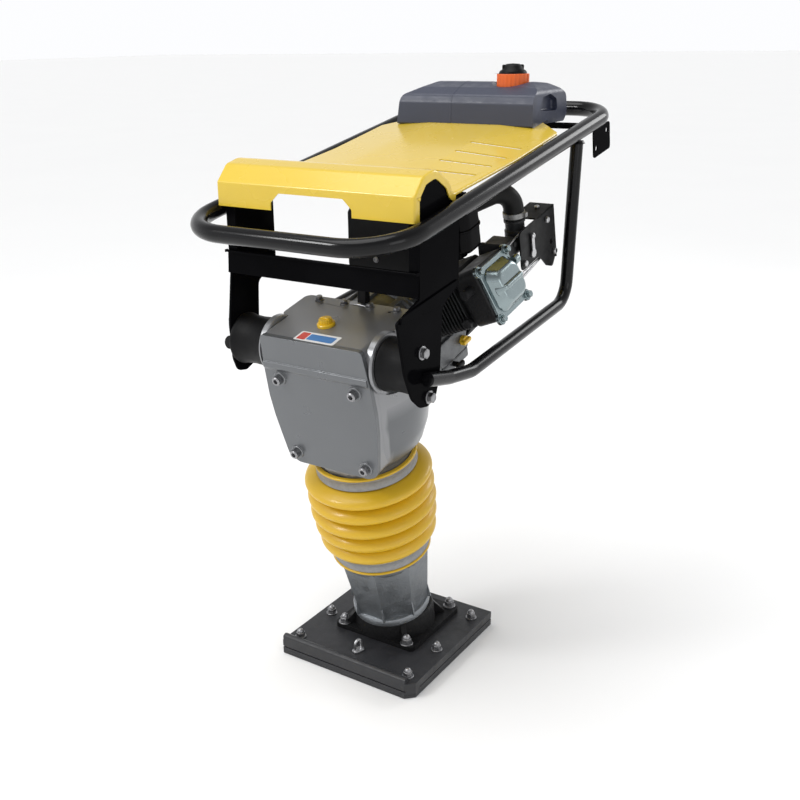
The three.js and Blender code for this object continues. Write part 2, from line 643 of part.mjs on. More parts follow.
function fuelTank() {
  const { half, left, front, rear, bottom, shelf, top, seat } = TANK;
  const side = outline([[front + 5, bottom - 4], [front + 60, shelf - 8], [front + 63, bottom],
    [rear - 14, bottom], [rear, bottom + 14], [rear - 6, top - 26], [rear - 40, top - 4], [front + 60, top],
    [front + 33, top - 10], [front + 7, top - 22], [front, top - 34], [front, bottom + 1]]);
  const crown = prismY(outline([[-left, bottom - 9], [half, bottom - 9], [half, top - 14], [half - 30, top],
    [62 - left, top], [10 - left, top - 26]]), front, rear);
  const bed = crowned([[HOOD.front, 850], [333, 890], [333, shelf], [HOOD.full, 919.8], [HOOD.front, 881]]);
  const shell = cut(common(prismX(side, -left, half), crown), bed);
  const recess = rodZ(34, seat, top + 1, 62, 345, 24);
  const neck = rodZ(24, seat - 2, seat + 5, 62, 345, 24);
  const grip = box(half - 12, half + 1, front + 31, rear - 44, shelf + 8, top - 24);
  return cut(join(cut(shell, recess, grip), neck), rodZ(18, seat - 10, seat + 8, 62, 345, 16));
}

function tankCap() {
  const low = TANK.seat + 5 + GAP;
  return turned([[0, low], [29, low], [29, low + 22], [26, low + 27], [23, low + 33], [18, low + 38],
    [8, low + 43], [0, low + 43]], 28).translate(62, 345, 0);
}

function tankBar() {
  const half = RING.half - RING.tube - GAP;
  return box(-half, half, 342, 376, 939, TANK.bottom - GAP);
}

// Assembly
const rammer = new THREE.Group();
const leg = new THREE.Group();
leg.position.y = LEG.back;
leg.rotation.x = LEG.lean;
const ring = new THREE.Group();
ring.position.z = RING.height;
ring.rotation.x = RING.tilt;
rammer.add(leg, ring);

const flangeTop = SHOE.height + GAP + FLANGE.thick;
const flangeStudsAt = [-1, 1].map((end) => FLANGE_STUDS.centre + end * FLANGE_STUDS.y);
rammer.add(
  part('sole_plate', solePlate(), BLACK_STEEL),
  part('shoe_body', shoeBody(), BLACK_STEEL),
  part('leg_flange', legFlange(), BLACK_STEEL),
  part('lifting_eye', liftingEye(), BRIGHT_STEEL),
);
for (const [name, side] of [['left', 1], ['right', -1]]) {
  rammer.add(
    part(`shoe_studs_${name}`, studStrip(side * SHOE_STUDS.x, SHOE_STUDS.at, SHOE.height, -139, 124),
      BRIGHT_STEEL),
    part(`flange_studs_${name}`, studStrip(side * FLANGE_STUDS.x, flangeStudsAt, flangeTop, -63, 125),
      BRIGHT_STEEL),
    part(`side_plate_${name}`, sidePlate(side), BLACK_STEEL),
    part(`side_tube_${name}`, sideTube(side), BLACK_STEEL),
  );
  leg.add(
    part(`shock_mount_${name}`, shockMount(side), RUBBER),
  );
}
rammer.add(
  part('cross_bar', crossBar(), BLACK_STEEL),
  part('hood', hood(), YELLOW),
  part('fuel_tank', fuelTank(), TANK_PLASTIC),
  part('tank_cap', tankCap(), ORANGE),
  part('tank_bar', tankBar(), BLACK_STEEL),
);
ring.add(part('handle_ring', handleRing(), BLACK_STEEL));
const bracket = part('throttle_bracket', throttleBracket(), BLACK_STEEL);
bracket.position.set(RING.half - 1.5, 448, -RING.tube - 27);
ring.add(bracket);

leg.add(
  part('cast_leg', castLeg(), CASTING),
  part('ram_cylinder', ramCylinder(), BRIGHT_STEEL),
  part('ram_cap', ramCap(), BRIGHT_STEEL),
  part('lower_spring', coilSpring(RAM.low + 1, 245, 5), SPRING_STEEL),
  part('upper_spring', coilSpring(263, 363, 4), SPRING_STEEL),
  part('piston', piston(), BRIGHT_STEEL),
  part('guide_cylinder', guideCylinder(), BRIGHT_STEEL),
  part('lower_clamp', bandClamp(CLAMP.lowerAt, Math.PI), BRIGHT_STEEL),
  part('upper_clamp', bandClamp(CLAMP.upperAt, Math.PI), BRIGHT_STEEL),
  part('bellows', bellows(), YELLOW),
  part('gear_housing', gearHousing(), CASTING),
  part('front_cover', frontCover(), CASTING),
  ...COVER_BOLTS.map((at, i) => part(`cover_bolt_${i + 1}`, coverBolt(at), BRIGHT_STEEL)),
  part('filler_plug', fillerPlug(), YELLOW),
  part('crank_gear', crankGear(), BRIGHT_STEEL),
  part('crank_bearing', bearing(16.6, 22 - GAP, 34, 48, GEAR.wheelHeight), BRIGHT_STEEL),
  part('pinion_shaft', pinionShaft(), BRIGHT_STEEL),
  part('pinion_bearing', bearing(11 + GAP, 26 - GAP, 36, 58, SHAFT_HEIGHT), BRIGHT_STEEL),
  part('connecting_rod', connectingRod(), BRIGHT_STEEL),
  part('clutch_drum', clutchDrum(), BRIGHT_STEEL),
  part('clutch_shoe_1', clutchShoe(1), SPRING_STEEL),
  part('clutch_shoe_2', clutchShoe(-1), SPRING_STEEL),
  part('clutch_housing', clutchHousing(), CASTING),
  part('engine_shaft', engineShaft(), BRIGHT_STEEL),
  part('flywheel', flywheel(), CASTING),
  part('engine_block', engineBlock(), CASTING),
  part('engine_cylinder', finnedCylinder(), CASTING),
  part('valve_cover', valveCover(), BRIGHT_STEEL),
  part('recoil_cover', recoilCover(), BLACK_STEEL),
  part('pull_grip', pullGrip(), BLACK_PLASTIC),
  part('carburettor', carburettor(), CASTING),
  part('control_box', controlBox(), BLACK_PLASTIC),
  part('throttle_lever', throttleLever(), BRIGHT_STEEL),
  part('intake_hose', intakeHose(), RUBBER),
  part('air_cleaner', airCleaner(), BLACK_PLASTIC),
  part('muffler', muffler(), SPRING_STEEL),
);

export default rammer;
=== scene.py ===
import json
import math
import bmesh
import bpy
from mathutils import Matrix, Vector

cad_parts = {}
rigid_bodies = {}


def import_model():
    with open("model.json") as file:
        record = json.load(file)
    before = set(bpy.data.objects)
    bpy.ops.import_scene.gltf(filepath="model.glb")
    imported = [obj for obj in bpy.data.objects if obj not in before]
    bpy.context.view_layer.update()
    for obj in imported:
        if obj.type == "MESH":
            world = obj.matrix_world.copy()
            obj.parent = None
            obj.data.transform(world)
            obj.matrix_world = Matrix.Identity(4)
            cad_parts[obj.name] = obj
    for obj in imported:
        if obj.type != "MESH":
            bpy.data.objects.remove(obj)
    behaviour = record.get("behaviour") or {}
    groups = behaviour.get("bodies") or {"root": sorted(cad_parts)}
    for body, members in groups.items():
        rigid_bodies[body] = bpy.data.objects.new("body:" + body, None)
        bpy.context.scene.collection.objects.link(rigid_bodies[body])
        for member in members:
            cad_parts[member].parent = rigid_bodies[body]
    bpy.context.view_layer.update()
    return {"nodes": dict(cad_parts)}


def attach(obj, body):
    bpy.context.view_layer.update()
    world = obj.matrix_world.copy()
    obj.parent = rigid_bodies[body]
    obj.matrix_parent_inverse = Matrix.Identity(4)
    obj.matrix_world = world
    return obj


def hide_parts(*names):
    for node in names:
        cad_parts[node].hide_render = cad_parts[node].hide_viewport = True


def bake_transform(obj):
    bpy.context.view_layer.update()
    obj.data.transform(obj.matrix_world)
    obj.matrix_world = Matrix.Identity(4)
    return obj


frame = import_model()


def shift(x, y, z):
    return Matrix.Translation((x, y, z))


def rotate(axis, degrees):
    return Matrix.Rotation(math.radians(degrees), 4, axis)


# Lengths below are in millimetres, as on a drawing; MM turns them into metres.
MM = 0.001
LEG_LEAN, LEG_BACK = 13.2, 29
RING_TILT, RING_HEIGHT = 10, 875
HERE = Matrix.Identity(4)
LEG = shift(0, LEG_BACK, 0) @ rotate("X", LEG_LEAN)
RING = shift(0, 0, RING_HEIGHT) @ rotate("X", RING_TILT)
# In the leg's frame: the engine shaft's height, the cylinder's slant, and where its head ends.
SHAFT, SLANT, HEAD = 601, 23.5, 210
ENGINE = LEG @ shift(0, 0, SHAFT)
CYLINDER = ENGINE @ rotate("Y", -SLANT)
CASE_TOP = 689
# The rubber mounts' axis as (y, z) in the leg's frame, and the filler neck's as (x, y).
MOUNT_AXIS = (-41, 646)
FILLER = (62, 345)


# ---- materials
def put(node, **values):
    """Sets a node's inputs; an underscore stands for a space in an input's name."""
    for name, value in values.items():
        node.inputs[name.replace("_", " ")].default_value = value


class Shader:
    """A Principled material and the few node patterns that every finish here is made from."""

    def __init__(self, name, color, rough, metal=0.0, coat=0.0, shine=0.5):
        self.material = bpy.data.materials.new(name)
        self.material.use_nodes = True
        self.tree = self.material.node_tree
        self.link = self.tree.links.new
        self.bsdf = self.tree.nodes["Principled BSDF"]
        put(self.bsdf, Metallic=metal, Coat_Weight=coat, Coat_Roughness=0.12, Specular_IOR_Level=shine)
        self.place = self.node("TexCoord").outputs["Object"]
        self.color = self.constant("RGB", (*color, 1))
        self.rough = self.constant("Value", rough)
        self.height = None

    def node(self, kind):
        return self.tree.nodes.new("ShaderNode" + kind)

    def constant(self, kind, value):
        output = self.node(kind).outputs[0]
        output.default_value = value
        return output

    def noise(self, scale, detail=4.0, low=0.3, high=0.7, stretch=(1, 1, 1)):
        mapping = self.node("Mapping")
        put(mapping, Scale=stretch)
        self.link(self.place, mapping.inputs["Vector"])
        node = self.node("TexNoise")
        put(node, Scale=scale, Detail=detail)
        self.link(mapping.outputs[0], node.inputs["Vector"])
        return self.ramp(node.outputs["Fac"], low, high)

    def ramp(self, fac, low, high):
        node = self.node("MapRange")
        put(node, From_Min=low, From_Max=high)
        self.link(fac, node.inputs["Value"])
        return node.outputs[0]

    def math(self, operation, a, b):
        node = self.node("Math")
        node.operation = operation
        for socket, value in zip(node.inputs, (a, b)):
            if isinstance(value, (int, float)):
                socket.default_value = value
            else:
                self.link(value, socket)
        return node.outputs[0]

    def tint(self, mask, color, amount):
        mix = self.node("Mix")
        mix.data_type = "RGBA"
        self.link(self.math("MULTIPLY", mask, amount), mix.inputs["Factor"])
        self.link(self.color, mix.inputs["A"])
        mix.inputs["B"].default_value = (*color, 1)
        self.color = mix.outputs["Result"]

    def roughen(self, mask, amount):
        self.rough = self.math("ADD", self.rough, self.math("MULTIPLY", mask, amount))

    def bump(self, mask, strength, distance):
        node = self.node("Bump")
        put(node, Strength=strength, Distance=distance)
        self.link(mask, node.inputs["Height"])
        if self.height is not None:
            self.link(self.height, node.inputs["Normal"])
        self.height = node.outputs[0]

    def edges(self, low, high):
        return self.ramp(self.node("NewGeometry").outputs["Pointiness"], low, high)

    def done(self):
        self.link(self.color, self.bsdf.inputs["Base Color"])
        self.link(self.rough, self.bsdf.inputs["Roughness"])
        if self.height is not None:
            self.link(self.height, self.bsdf.inputs["Normal"])
        return self.material


def gloss_paint(name, color, rough=0.3, coat=0.35):
    """Sprayed enamel: faint orange peel and slight shade changes."""
    s = Shader(name, color, rough, coat=coat)
    s.tint(s.noise(5, 3), [c * 0.86 for c in color], 0.35)
    s.roughen(s.noise(12, 3), 0.06)
    s.bump(s.noise(420, 2), 0.015, 0.0004)
    return s.done()


def black_paint(name, rough=0.34, coat=0.05, shine=0.0):
    """Black powder coat with fine pebbling and worn edges."""
    s = Shader(name, (0.0022, 0.0022, 0.0027), rough, coat=coat, shine=shine)
    s.tint(s.noise(9, 5, 0.45, 0.8), (0.006, 0.006, 0.007), 0.5)
    s.tint(s.math("MULTIPLY", s.edges(0.62, 0.75), s.noise(90, 4, 0.5, 0.64)), (0.12, 0.12, 0.12), 0.4)
    s.roughen(s.noise(12, 4), 0.1)
    s.bump(s.noise(520, 3), 0.03, 0.0004)
    return s.done()


def shoe_paint():
    """Black shoe with trodden dust and scuffs."""
    s = Shader("shoe_paint", (0.017, 0.0175, 0.020), 0.32, shine=0.5)
    s.tint(s.noise(14, 8, 0.45, 0.8), (0.034, 0.0345, 0.038), 0.5)
    s.tint(s.noise(330, 6, 0.64, 0.78), (0.10, 0.10, 0.10), 0.2)
    s.roughen(s.noise(60, 6), 0.2)
    s.bump(s.noise(220, 6), 0.12, 0.001)
    return s.done()


def cast_metal(name, color, rough=0.42, metal=0.85, grain=260, depth=0.3, shine=0.5):
    """Sand or die casting: pebbled skin, cloudy shade, bright handled edges."""
    s = Shader(name, color, rough, metal, shine=shine)
    s.tint(s.noise(14, 6, 0.35, 0.7), [c * 0.72 for c in color], 0.45)
    s.tint(s.edges(0.53, 0.62), [min(1, c * 1.35) for c in color], 0.6)
    s.roughen(s.noise(70, 6), 0.18)
    s.bump(s.noise(grain, 5), depth, 0.0012)
    s.bump(s.noise(35, 3), 0.05, 0.002)
    return s.done()


def case_paint():
    """Grey aluminium paint over a casting."""
    s = Shader("case_paint", (0.145, 0.152, 0.16), 0.27, 0.5, coat=0.15)
    s.tint(s.noise(6, 4), (0.125, 0.13, 0.136), 0.5)
    s.tint(s.edges(0.54, 0.62), (0.42, 0.42, 0.43), 0.45)
    s.roughen(s.noise(20, 5), 0.1)
    s.bump(s.noise(150, 5), 0.03, 0.001)
    return s.done()


def bright_steel(name, color=(0.62, 0.62, 0.63), rough=0.24):
    """Zinc plated or turned steel with faint tool marks."""
    s = Shader(name, color, rough, 1.0)
    s.tint(s.noise(90, 5), [c * 0.7 for c in color], 0.5)
    s.roughen(s.noise(220, 5), 0.16)
    s.bump(s.noise(700, 3, 0.3, 0.7, (1, 1, 6)), 0.08, 0.0004)
    return s.done()


def plated_sheet(name, color, rough):
    """Pressed and plated sheet: smooth, with faint clouding and handling marks."""
    s = Shader(name, color, rough, 1.0)
    s.tint(s.noise(9, 4), [c * 0.7 for c in color], 0.5)
    s.roughen(s.noise(40, 5), 0.08)
    s.bump(s.noise(60, 3), 0.02, 0.0004)
    return s.done()


def rubber(name, color=(0.004, 0.004, 0.0045), rough=0.45, bloom=(0.012, 0.012, 0.012)):
    """Moulded rubber with a faint bloom and fine skin."""
    s = Shader(name, color, rough, shine=0.15)
    s.tint(s.noise(20, 6, 0.4, 0.8), bloom, 0.4)
    s.roughen(s.noise(50, 5), 0.15)
    s.bump(s.noise(600, 3), 0.12, 0.0005)
    return s.done()


def bellows_rubber():
    """Yellow rubber: glossy crests, painted shade in the folds and a soft moulding skin."""
    s = Shader("bellows_rubber", (0.64, 0.40, 0.010), 0.34, coat=0.2)
    s.tint(s.noise(12, 5), (0.64, 0.38, 0.010), 0.5)
    # Painted shade: the hollows of the folds are darkened, in patches.
    fold_shade = s.edges(0.49, 0.42)
    s.tint(s.math("MULTIPLY", fold_shade, s.noise(30, 6, 0.1, 0.6)), (0.22, 0.11, 0.006), 0.6)
    s.roughen(s.noise(60, 5), 0.14)
    s.bump(s.noise(380, 4), 0.1, 0.0006)
    return s.done()


def moulded_plastic(name, color, rough=0.42, shine=0.5):
    """Blow-moulded polyethylene: fine leathery grain and a slightly mottled colour."""
    s = Shader(name, color, rough, shine=shine)
    s.tint(s.noise(16, 6), [c * 0.8 for c in color], 0.45)
    s.tint(s.edges(0.54, 0.64), [min(1, c * 1.7) for c in color], 0.4)
    s.roughen(s.noise(60, 5), 0.14)
    s.bump(s.noise(900, 4), 0.16, 0.0005)
    return s.done()


MATERIALS = {
    "hood": gloss_paint("hood_enamel", (0.74, 0.52, 0.045), 0.24),
    "plug": gloss_paint("plug_enamel", (0.80, 0.50, 0.012), 0.32),
    "frame": black_paint("frame_powder_coat"),
    "tube": black_paint("tube_enamel", 0.2, 0.35, 0.1),
    "cowl": black_paint("cowl_enamel", 0.26, 0.15),
    "shoe": shoe_paint(),
    "flange": cast_metal("black_casting", (0.006, 0.006, 0.0065), 0.42, 0.1, 140, 0.3, 0.25),
    "leg": cast_metal("leg_casting", (0.24, 0.255, 0.27), 0.3, 0.85, 240, 0.2),
    "case": case_paint(),
    "engine": cast_metal("engine_casting", (0.14, 0.145, 0.15), 0.34, 0.85),
    "fins": cast_metal("fin_casting", (0.018, 0.018, 0.019), 0.4, 0.4, shine=0.3),
    "carb": cast_metal("carburettor_casting", (0.035, 0.036, 0.038), 0.36, 0.5, shine=0.4),
    "valve": plated_sheet("valve_plate", (0.30, 0.36, 0.37), 0.2),
    "steel": bright_steel("zinc_plate"),
    "dark_steel": bright_steel("dark_plate", (0.34, 0.34, 0.35), 0.32),
    "clamp": bright_steel("clamp_band", (0.34, 0.34, 0.34), 0.5),
    "spring": bright_steel("spring_wire", (0.18, 0.19, 0.2), 0.36),
    "rubber": rubber("mount_rubber"),
    "hose": rubber("hose_rubber", (0.007, 0.007, 0.007), 0.44),
    "bellows": bellows_rubber(),
    "box": moulded_plastic("black_moulding", (0.004, 0.004, 0.0045), 0.34, 0.15),
    "tank": moulded_plastic("tank_moulding", (0.040, 0.047, 0.078), 0.3),
    "orange": moulded_plastic("cap_moulding", (0.80, 0.13, 0.012), 0.36),
    "pale": moulded_plastic("cap_skirt", (0.55, 0.56, 0.58), 0.4),
}


# ---- shapes
def add(name, data):
    obj = bpy.data.objects.new(name, data)
    bpy.context.scene.collection.objects.link(obj)
    return obj


def new_mesh(name, verts, faces, place=HERE):
    """A mesh from millimetre points, placed in the shared frame in metres."""
    mesh = bpy.data.meshes.new(name)
    mesh.from_pydata([tuple((place @ Vector(v)) * MM) for v in verts], [], faces)
    mesh.update()
    return add(name, mesh)


def spin(name, profile, place=HERE, sides=96, closed=False):
    """Turns [radius, height] pairs about +Z; points with no radius close the ends."""
    verts, faces, rings = [], [], []
    for r, z in profile:
        if r == 0:
            rings.append([len(verts)])
            verts.append((0, 0, z))
            continue
        rings.append(list(range(len(verts), len(verts) + sides)))
        verts += [(r * math.cos(2 * math.pi * i / sides), r * math.sin(2 * math.pi * i / sides), z)
                  for i in range(sides)]
    pairs = list(zip(rings, rings[1:]))
    if closed:
        pairs.append((rings[-1], rings[0]))
    for a, b in pairs:
        for i in range(sides):
            j = (i + 1) % sides
            if len(a) == 1 and len(b) > 1:
                faces.append((a[0], b[j], b[i]))
            elif len(b) == 1 and len(a) > 1:
                faces.append((a[i], a[j], b[0]))
            elif len(a) > 1:
                faces.append((a[i], a[j], b[j], b[i]))
    return new_mesh(name, verts, faces, place)


def towards(axis, x, y, z):
    """A placing that lays +Z along X or Y, at a point."""
    return shift(x, y, z) @ {"X": rotate("Y", 90), "Y": rotate("X", -90)}[axis]


def rod(name, radius, length, place, sides=64, end=None, edge=0.8):
    """A round bar from the placing's origin along its +Z, with softened ends."""
    end = radius if end is None else end
    return spin(name, [(0, 0), (radius - edge, 0), (radius, edge), (end, length - edge),
                       (end - edge, length), (0, length)], place, sides)


def loft(name, low, high, start, end, place=HERE, axis="Z"):
    """A solid along an axis between two outlines of the same number of points.

    For axis X an outline is (y, z), for Y it is (x, z), and for Z it is (x, y).
    """
    lay = {"X": lambda u, v, t: (t, u, v), "Y": lambda u, v, t: (u, t, v), "Z": lambda u, v, t: (u, v, t)}
    n = len(low)
    verts = [lay[axis](u, v, start) for u, v in low] + [lay[axis](u, v, end) for u, v in high]
    faces = [tuple(range(n))[::-1], tuple(range(n, 2 * n))]
    faces += [(i, (i + 1) % n, n + (i + 1) % n, n + i) for i in range(n)]
    return outward(new_mesh(name, verts, faces, place))


def prism(name, points, start, end, place=HERE, axis="Z"):
    return loft(name, points, points, start, end, place, axis)


def outward(obj):
    bm = bmesh.new()
    bm.from_mesh(obj.data)
    bmesh.ops.recalc_face_normals(bm, faces=bm.faces)
    bm.to_mesh(obj.data)
    bm.free()
    return obj


def block(name, x0, x1, y0, y1, z0, z1, place=HERE):
    return prism(name, [(x0, y0), (x1, y0), (x1, y1), (x0, y1)], z0, z1, place)


def rounded(width, height, radius, steps=8, u=0, v=0):
    """A rounded rectangle's outline about (u, v)."""
    points = []
    for k, (cu, cv) in enumerate([(1, -1), (1, 1), (-1, 1), (-1, -1)]):
        for i in range(steps + 1):
            a = math.pi / 2 * (k - 1 + i / steps)
            points.append((u + cu * (width / 2 - radius) + radius * math.cos(a),
                           v + cv * (height / 2 - radius) + radius * math.sin(a)))
    return points


def polygon(radius, sides, first=0.0):
    """A regular polygon's corners, the first of them at an angle in radians."""
    angles = [first + math.tau / sides * i for i in range(sides)]
    return [(radius * math.cos(a), radius * math.sin(a)) for a in angles]


def hexagon(radius):
    return polygon(radius, 6)


def knurled(first, second, count, run):
    """A circle of points that changes between two radii after every run of points."""
    outline = []
    for i in range(count):
        r = second if i // run % 2 else first
        outline.append((r * math.cos(math.tau * i / count), r * math.sin(math.tau * i / count)))
    return outline


def tube(name, corners, radius, place=HERE, cyclic=False, sides=10, bend_steps=14):
    """A bent tube through corners of [x, y, z, bend radius], as a mesh."""
    at = [Vector(c[:3]) for c in corners]
    n = len(at)
    path = []
    for i in range(n):
        if not cyclic and i in (0, n - 1):
            path.append(at[i])
            continue
        back = (at[i - 1] - at[i]).normalized()
        ahead = (at[(i + 1) % n] - at[i]).normalized()
        reach = corners[i][3] / math.tan(back.angle(ahead) / 2)
        enter, leave = at[i] + back * reach, at[i] + ahead * reach
        axis = (back + ahead).normalized()
        centre = at[i] + axis * (corners[i][3] / math.sin(back.angle(ahead) / 2))
        for k in range(bend_steps + 1):
            t = k / bend_steps
            arm = (enter - centre).slerp(leave - centre, t).normalized()
            path.append(centre + arm * corners[i][3])
    return sweep(name, path, radius, place, cyclic, sides)


def sweep(name, path, radius, place=HERE, cyclic=False, sides=10):
    """Round bar along a path of points, as a mesh."""
    curve = bpy.data.curves.new(name, "CURVE")
    curve.dimensions = "3D"
    curve.bevel_depth = radius * MM
    curve.bevel_resolution = sides
    curve.use_fill_caps = True
    spline = curve.splines.new("POLY")
    spline.points.add(len(path) - 1)
    for point, p in zip(spline.points, path):
        point.co = (*((place @ p) * MM), 1)
    spline.use_cyclic_u = cyclic
    return as_mesh(add(name, curve))


def as_mesh(obj):
    """Applies every modifier, and turns a curve into a mesh."""
    bpy.context.view_layer.update()
    final = bpy.data.meshes.new_from_object(obj.evaluated_get(bpy.context.evaluated_depsgraph_get()))
    name = obj.name
    made = add(name + "_m", final)
    bpy.data.objects.remove(obj)
    made.name = name
    return made


def carve(obj, *tools, keep="DIFFERENCE"):
    """Cuts the tools out of a solid, or joins them on."""
    for tool in tools:
        modifier = obj.modifiers.new("cut", "BOOLEAN")
        modifier.operation = keep
        modifier.solver = "EXACT"
        modifier.object = tool
    obj = as_mesh(obj)
    for tool in tools:
        bpy.data.objects.remove(tool)
    return obj


def fuse(obj, *others):
    return carve(obj, *others, keep="UNION")


def soften(obj, width=1.0, segments=3, angle=30):
    """Rounds the hard edges and shades the piece smooth."""
    smooth(obj, angle)
    modifier = obj.modifiers.new("edge", "BEVEL")
    modifier.width = width * MM
    modifier.segments = segments
    modifier.limit_method = "ANGLE"
    modifier.angle_limit = math.radians(angle)
    flat = obj.modifiers.new("flat", "WEIGHTED_NORMAL")
    flat.keep_sharp = True
    return as_mesh(obj)


def smooth(obj, angle=35):
    obj.data.polygons.foreach_set("use_smooth", [True] * len(obj.data.polygons))
    obj.data.set_sharp_from_angle(angle=math.radians(angle))
    return obj


def gather(name, parts):
    """Several solids as one piece, each with its own material."""
    bpy.ops.object.select_all(action="DESELECT")
    for p in parts:
        p.select_set(True)
    bpy.context.view_layer.objects.active = parts[0]
    bpy.ops.object.join()
    parts[0].name = name
    return parts[0]


def paint(obj, key):
    obj.data.materials.clear()
    obj.data.materials.append(MATERIALS[key])
    return obj


def finish_piece(obj, body, slot, *nodes):
    if nodes:
        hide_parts(*nodes)
    if obj.parent is None:
        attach(obj, body)
    return obj


# ---- fasteners
def washer(name, radius, place, thick=2.2):
    return smooth(spin(name, [(0, 0), (radius, 0), (radius, thick - 0.4), (radius - 0.5, thick),
                              (0, thick)], place, 48))


def domed_nut(name, across, place):
    """A cap nut: hexagon with a ball end."""
    base = soften(prism(name + "_h", hexagon(across), 0, across * 0.95, place), 0.7, 2)
    dome = [(across * 0.74 * math.cos(a), across * 1.05 + across * 0.72 * math.sin(a))
            for a in [math.pi / 2 * i / 8 for i in range(9)]]
    top = smooth(spin(name + "_d", [(0, across * 0.5), (across * 0.74, across * 0.5), *dome[:-1],
                                    (0, dome[-1][1])], place, 40), 50)
    return [base, top]


def hex_bolt(name, across, place, thick=7):
    head = soften(prism(name, hexagon(across), 0, thick, place), 0.8, 2)
    face = smooth(spin(name + "_f", [(0, thick - 1), (across * 0.78, thick - 0.2),
                                     (across * 0.7, thick + 0.6), (0, thick + 0.5)], place, 40))
    return [head, face]


def socket_screw(name, radius, height, place):
    """A cylinder-head screw with a hexagon socket and a knurled side."""
    side = prism(name, knurled(radius - 0.35, radius, 96, 1), 0, height - 1.4, place)
    cap = spin(name + "_c", [(0, height - 1.8), (radius - 0.5, height - 1.8), (radius - 0.5, height - 1.2),
                             (radius - 1.6, height), (0, height)], place, 64)
    head = fuse(side, cap)
    head = carve(head, prism(name + "_s", hexagon(radius * 0.56), height * 0.45, height + 2, place))
    return smooth(head, 30)


# ---- camera, light and floor
def set_stage():
    """A 46 mm lens in front of the machine's left shoulder, a pale floor and soft lights."""
    camera = add("camera", bpy.data.cameras.new("camera"))
    azimuth, elevation, roll = math.radians(34.11), math.radians(19.12), math.radians(1.0)
    back = Vector((math.sin(azimuth) * math.cos(elevation), -math.cos(azimuth) * math.cos(elevation),
                   math.sin(elevation)))
    camera.rotation_mode = "QUATERNION"
    level = (-back).to_track_quat("-Z", "Y")
    camera.rotation_quaternion = level @ Matrix.Rotation(-roll, 4, "Z").to_quaternion()
    camera.location = (0.9556, -1.4367, 1.1032)
    camera.data.lens = 46.2
    camera.data.shift_x = 0.028
    camera.data.shift_y = -0.0097
    camera.data.clip_start = 0.05
    bpy.context.scene.camera = camera

    bpy.ops.mesh.primitive_plane_add(size=120, location=(0, 0, -0.0005))
    floor = bpy.context.object
    floor.name = "floor"
    s = Shader("floor_paper", (0.90, 0.90, 0.895), 0.8)
    s.tint(s.noise(1.2, 3), (0.87, 0.87, 0.87), 0.3)
    floor.data.materials.append(s.done())

    bpy.context.scene.view_settings.view_transform = "Standard"
    world = bpy.data.worlds.new("studio")
    bpy.context.scene.world = world
    world.use_nodes = True
    nodes, links = world.node_tree.nodes, world.node_tree.links
    sky = nodes["Background"]
    put(sky, Color=(0.98, 0.985, 1.0, 1))
    height = nodes.new("ShaderNodeSeparateXYZ")
    links.new(nodes.new("ShaderNodeTexCoord").outputs["Generated"], height.inputs[0])
    fade = nodes.new("ShaderNodeMapRange")
    put(fade, From_Min=0.1, From_Max=0.7, To_Min=1.0, To_Max=0.42)
    links.new(height.outputs["Z"], fade.inputs["Value"])
    links.new(fade.outputs[0], sky.inputs["Strength"])
    sun = add("overhead", bpy.data.lights.new("overhead", "SUN"))
    sun.data.energy = 1.75
    sun.data.angle = math.radians(50)
    sun.rotation_euler = (math.radians(8), math.radians(-12), 0)
    middle = Vector((0, 0, 0.55))
    for name, at, size, power in (
        ("key", (-1.7, -2.2, 2.6), 0.7, 34), ("fill", (2.8, -1.0, 1.5), 1.2, 7),
        ("rim", (1.2, 2.6, 2.0), 1.0, 16),
    ):
        lamp = add(name, bpy.data.lights.new(name, "AREA"))
        lamp.data.size = size
        lamp.data.energy = power
        lamp.location = at
        lamp.rotation_euler = (middle - Vector(at)).to_track_quat("-Z", "Y").to_euler()


# ---- foot
SHOE_TOP = 29
SHOE_EDGE = [(-143, -148.5), (128, -148.5), (143, -133.5), (143, 148.5), (-143, 148.5)]
SHOE_STUDS = [-123, -23, 108]
FLANGE_TOP = SHOE_TOP + 9.3


def make_shoe():
    sole = soften(prism("sole", SHOE_EDGE, 0, 6), 0.8)
    finish_piece(paint(sole, "shoe"), "foot", "sole_steel", "sole_plate")
    slab = prism("shoe", SHOE_EDGE, 6.3, SHOE_TOP)
    nose = prism("nose", filleted([(-148.5, 20, 0), (-148.5, 37, 4), (-142, 40, 5), (-134.5, 36, 3),
                                   (-134.5, 20, 0)]), -142, 129, axis="X")
    slab = fuse(slab, nose)
    groove = block("groove", -160, 160, -150, -146, 13, 15.5)
    side_groove = block("side_groove", 141.5, 150, -120, 160, 13, 15.5)
    slab = carve(slab, groove, side_groove)
    finish_piece(paint(soften(slab, 1.6), "shoe"), "foot", "shoe_black", "shoe_body")


def make_studs():
    for name, side in (("left", 1), ("right", -1)):
        rows = (("shoe_nuts", 120, SHOE_STUDS, SHOE_TOP, 8.5, "shoe_studs"),
                ("flange_nuts", 70, (-48, 110), FLANGE_TOP, 9.5, "flange_studs"))
        for kind, x, ys, base, across, node in rows:
            parts = []
            for y in ys:
                at = shift(side * x, y, base + 0.3)
                spun = at @ Matrix.Rotation(0.3 * y, 4, "Z")
                parts.append(washer("w", across * 1.25, at))
                parts += domed_nut("n", across, spun @ shift(0, 0, 2.2))
            row = gather(f"{kind}_{name}", parts)
            finish_piece(paint(row, "dark_steel"), "foot", "stud_steel", f"{node}_{name}")


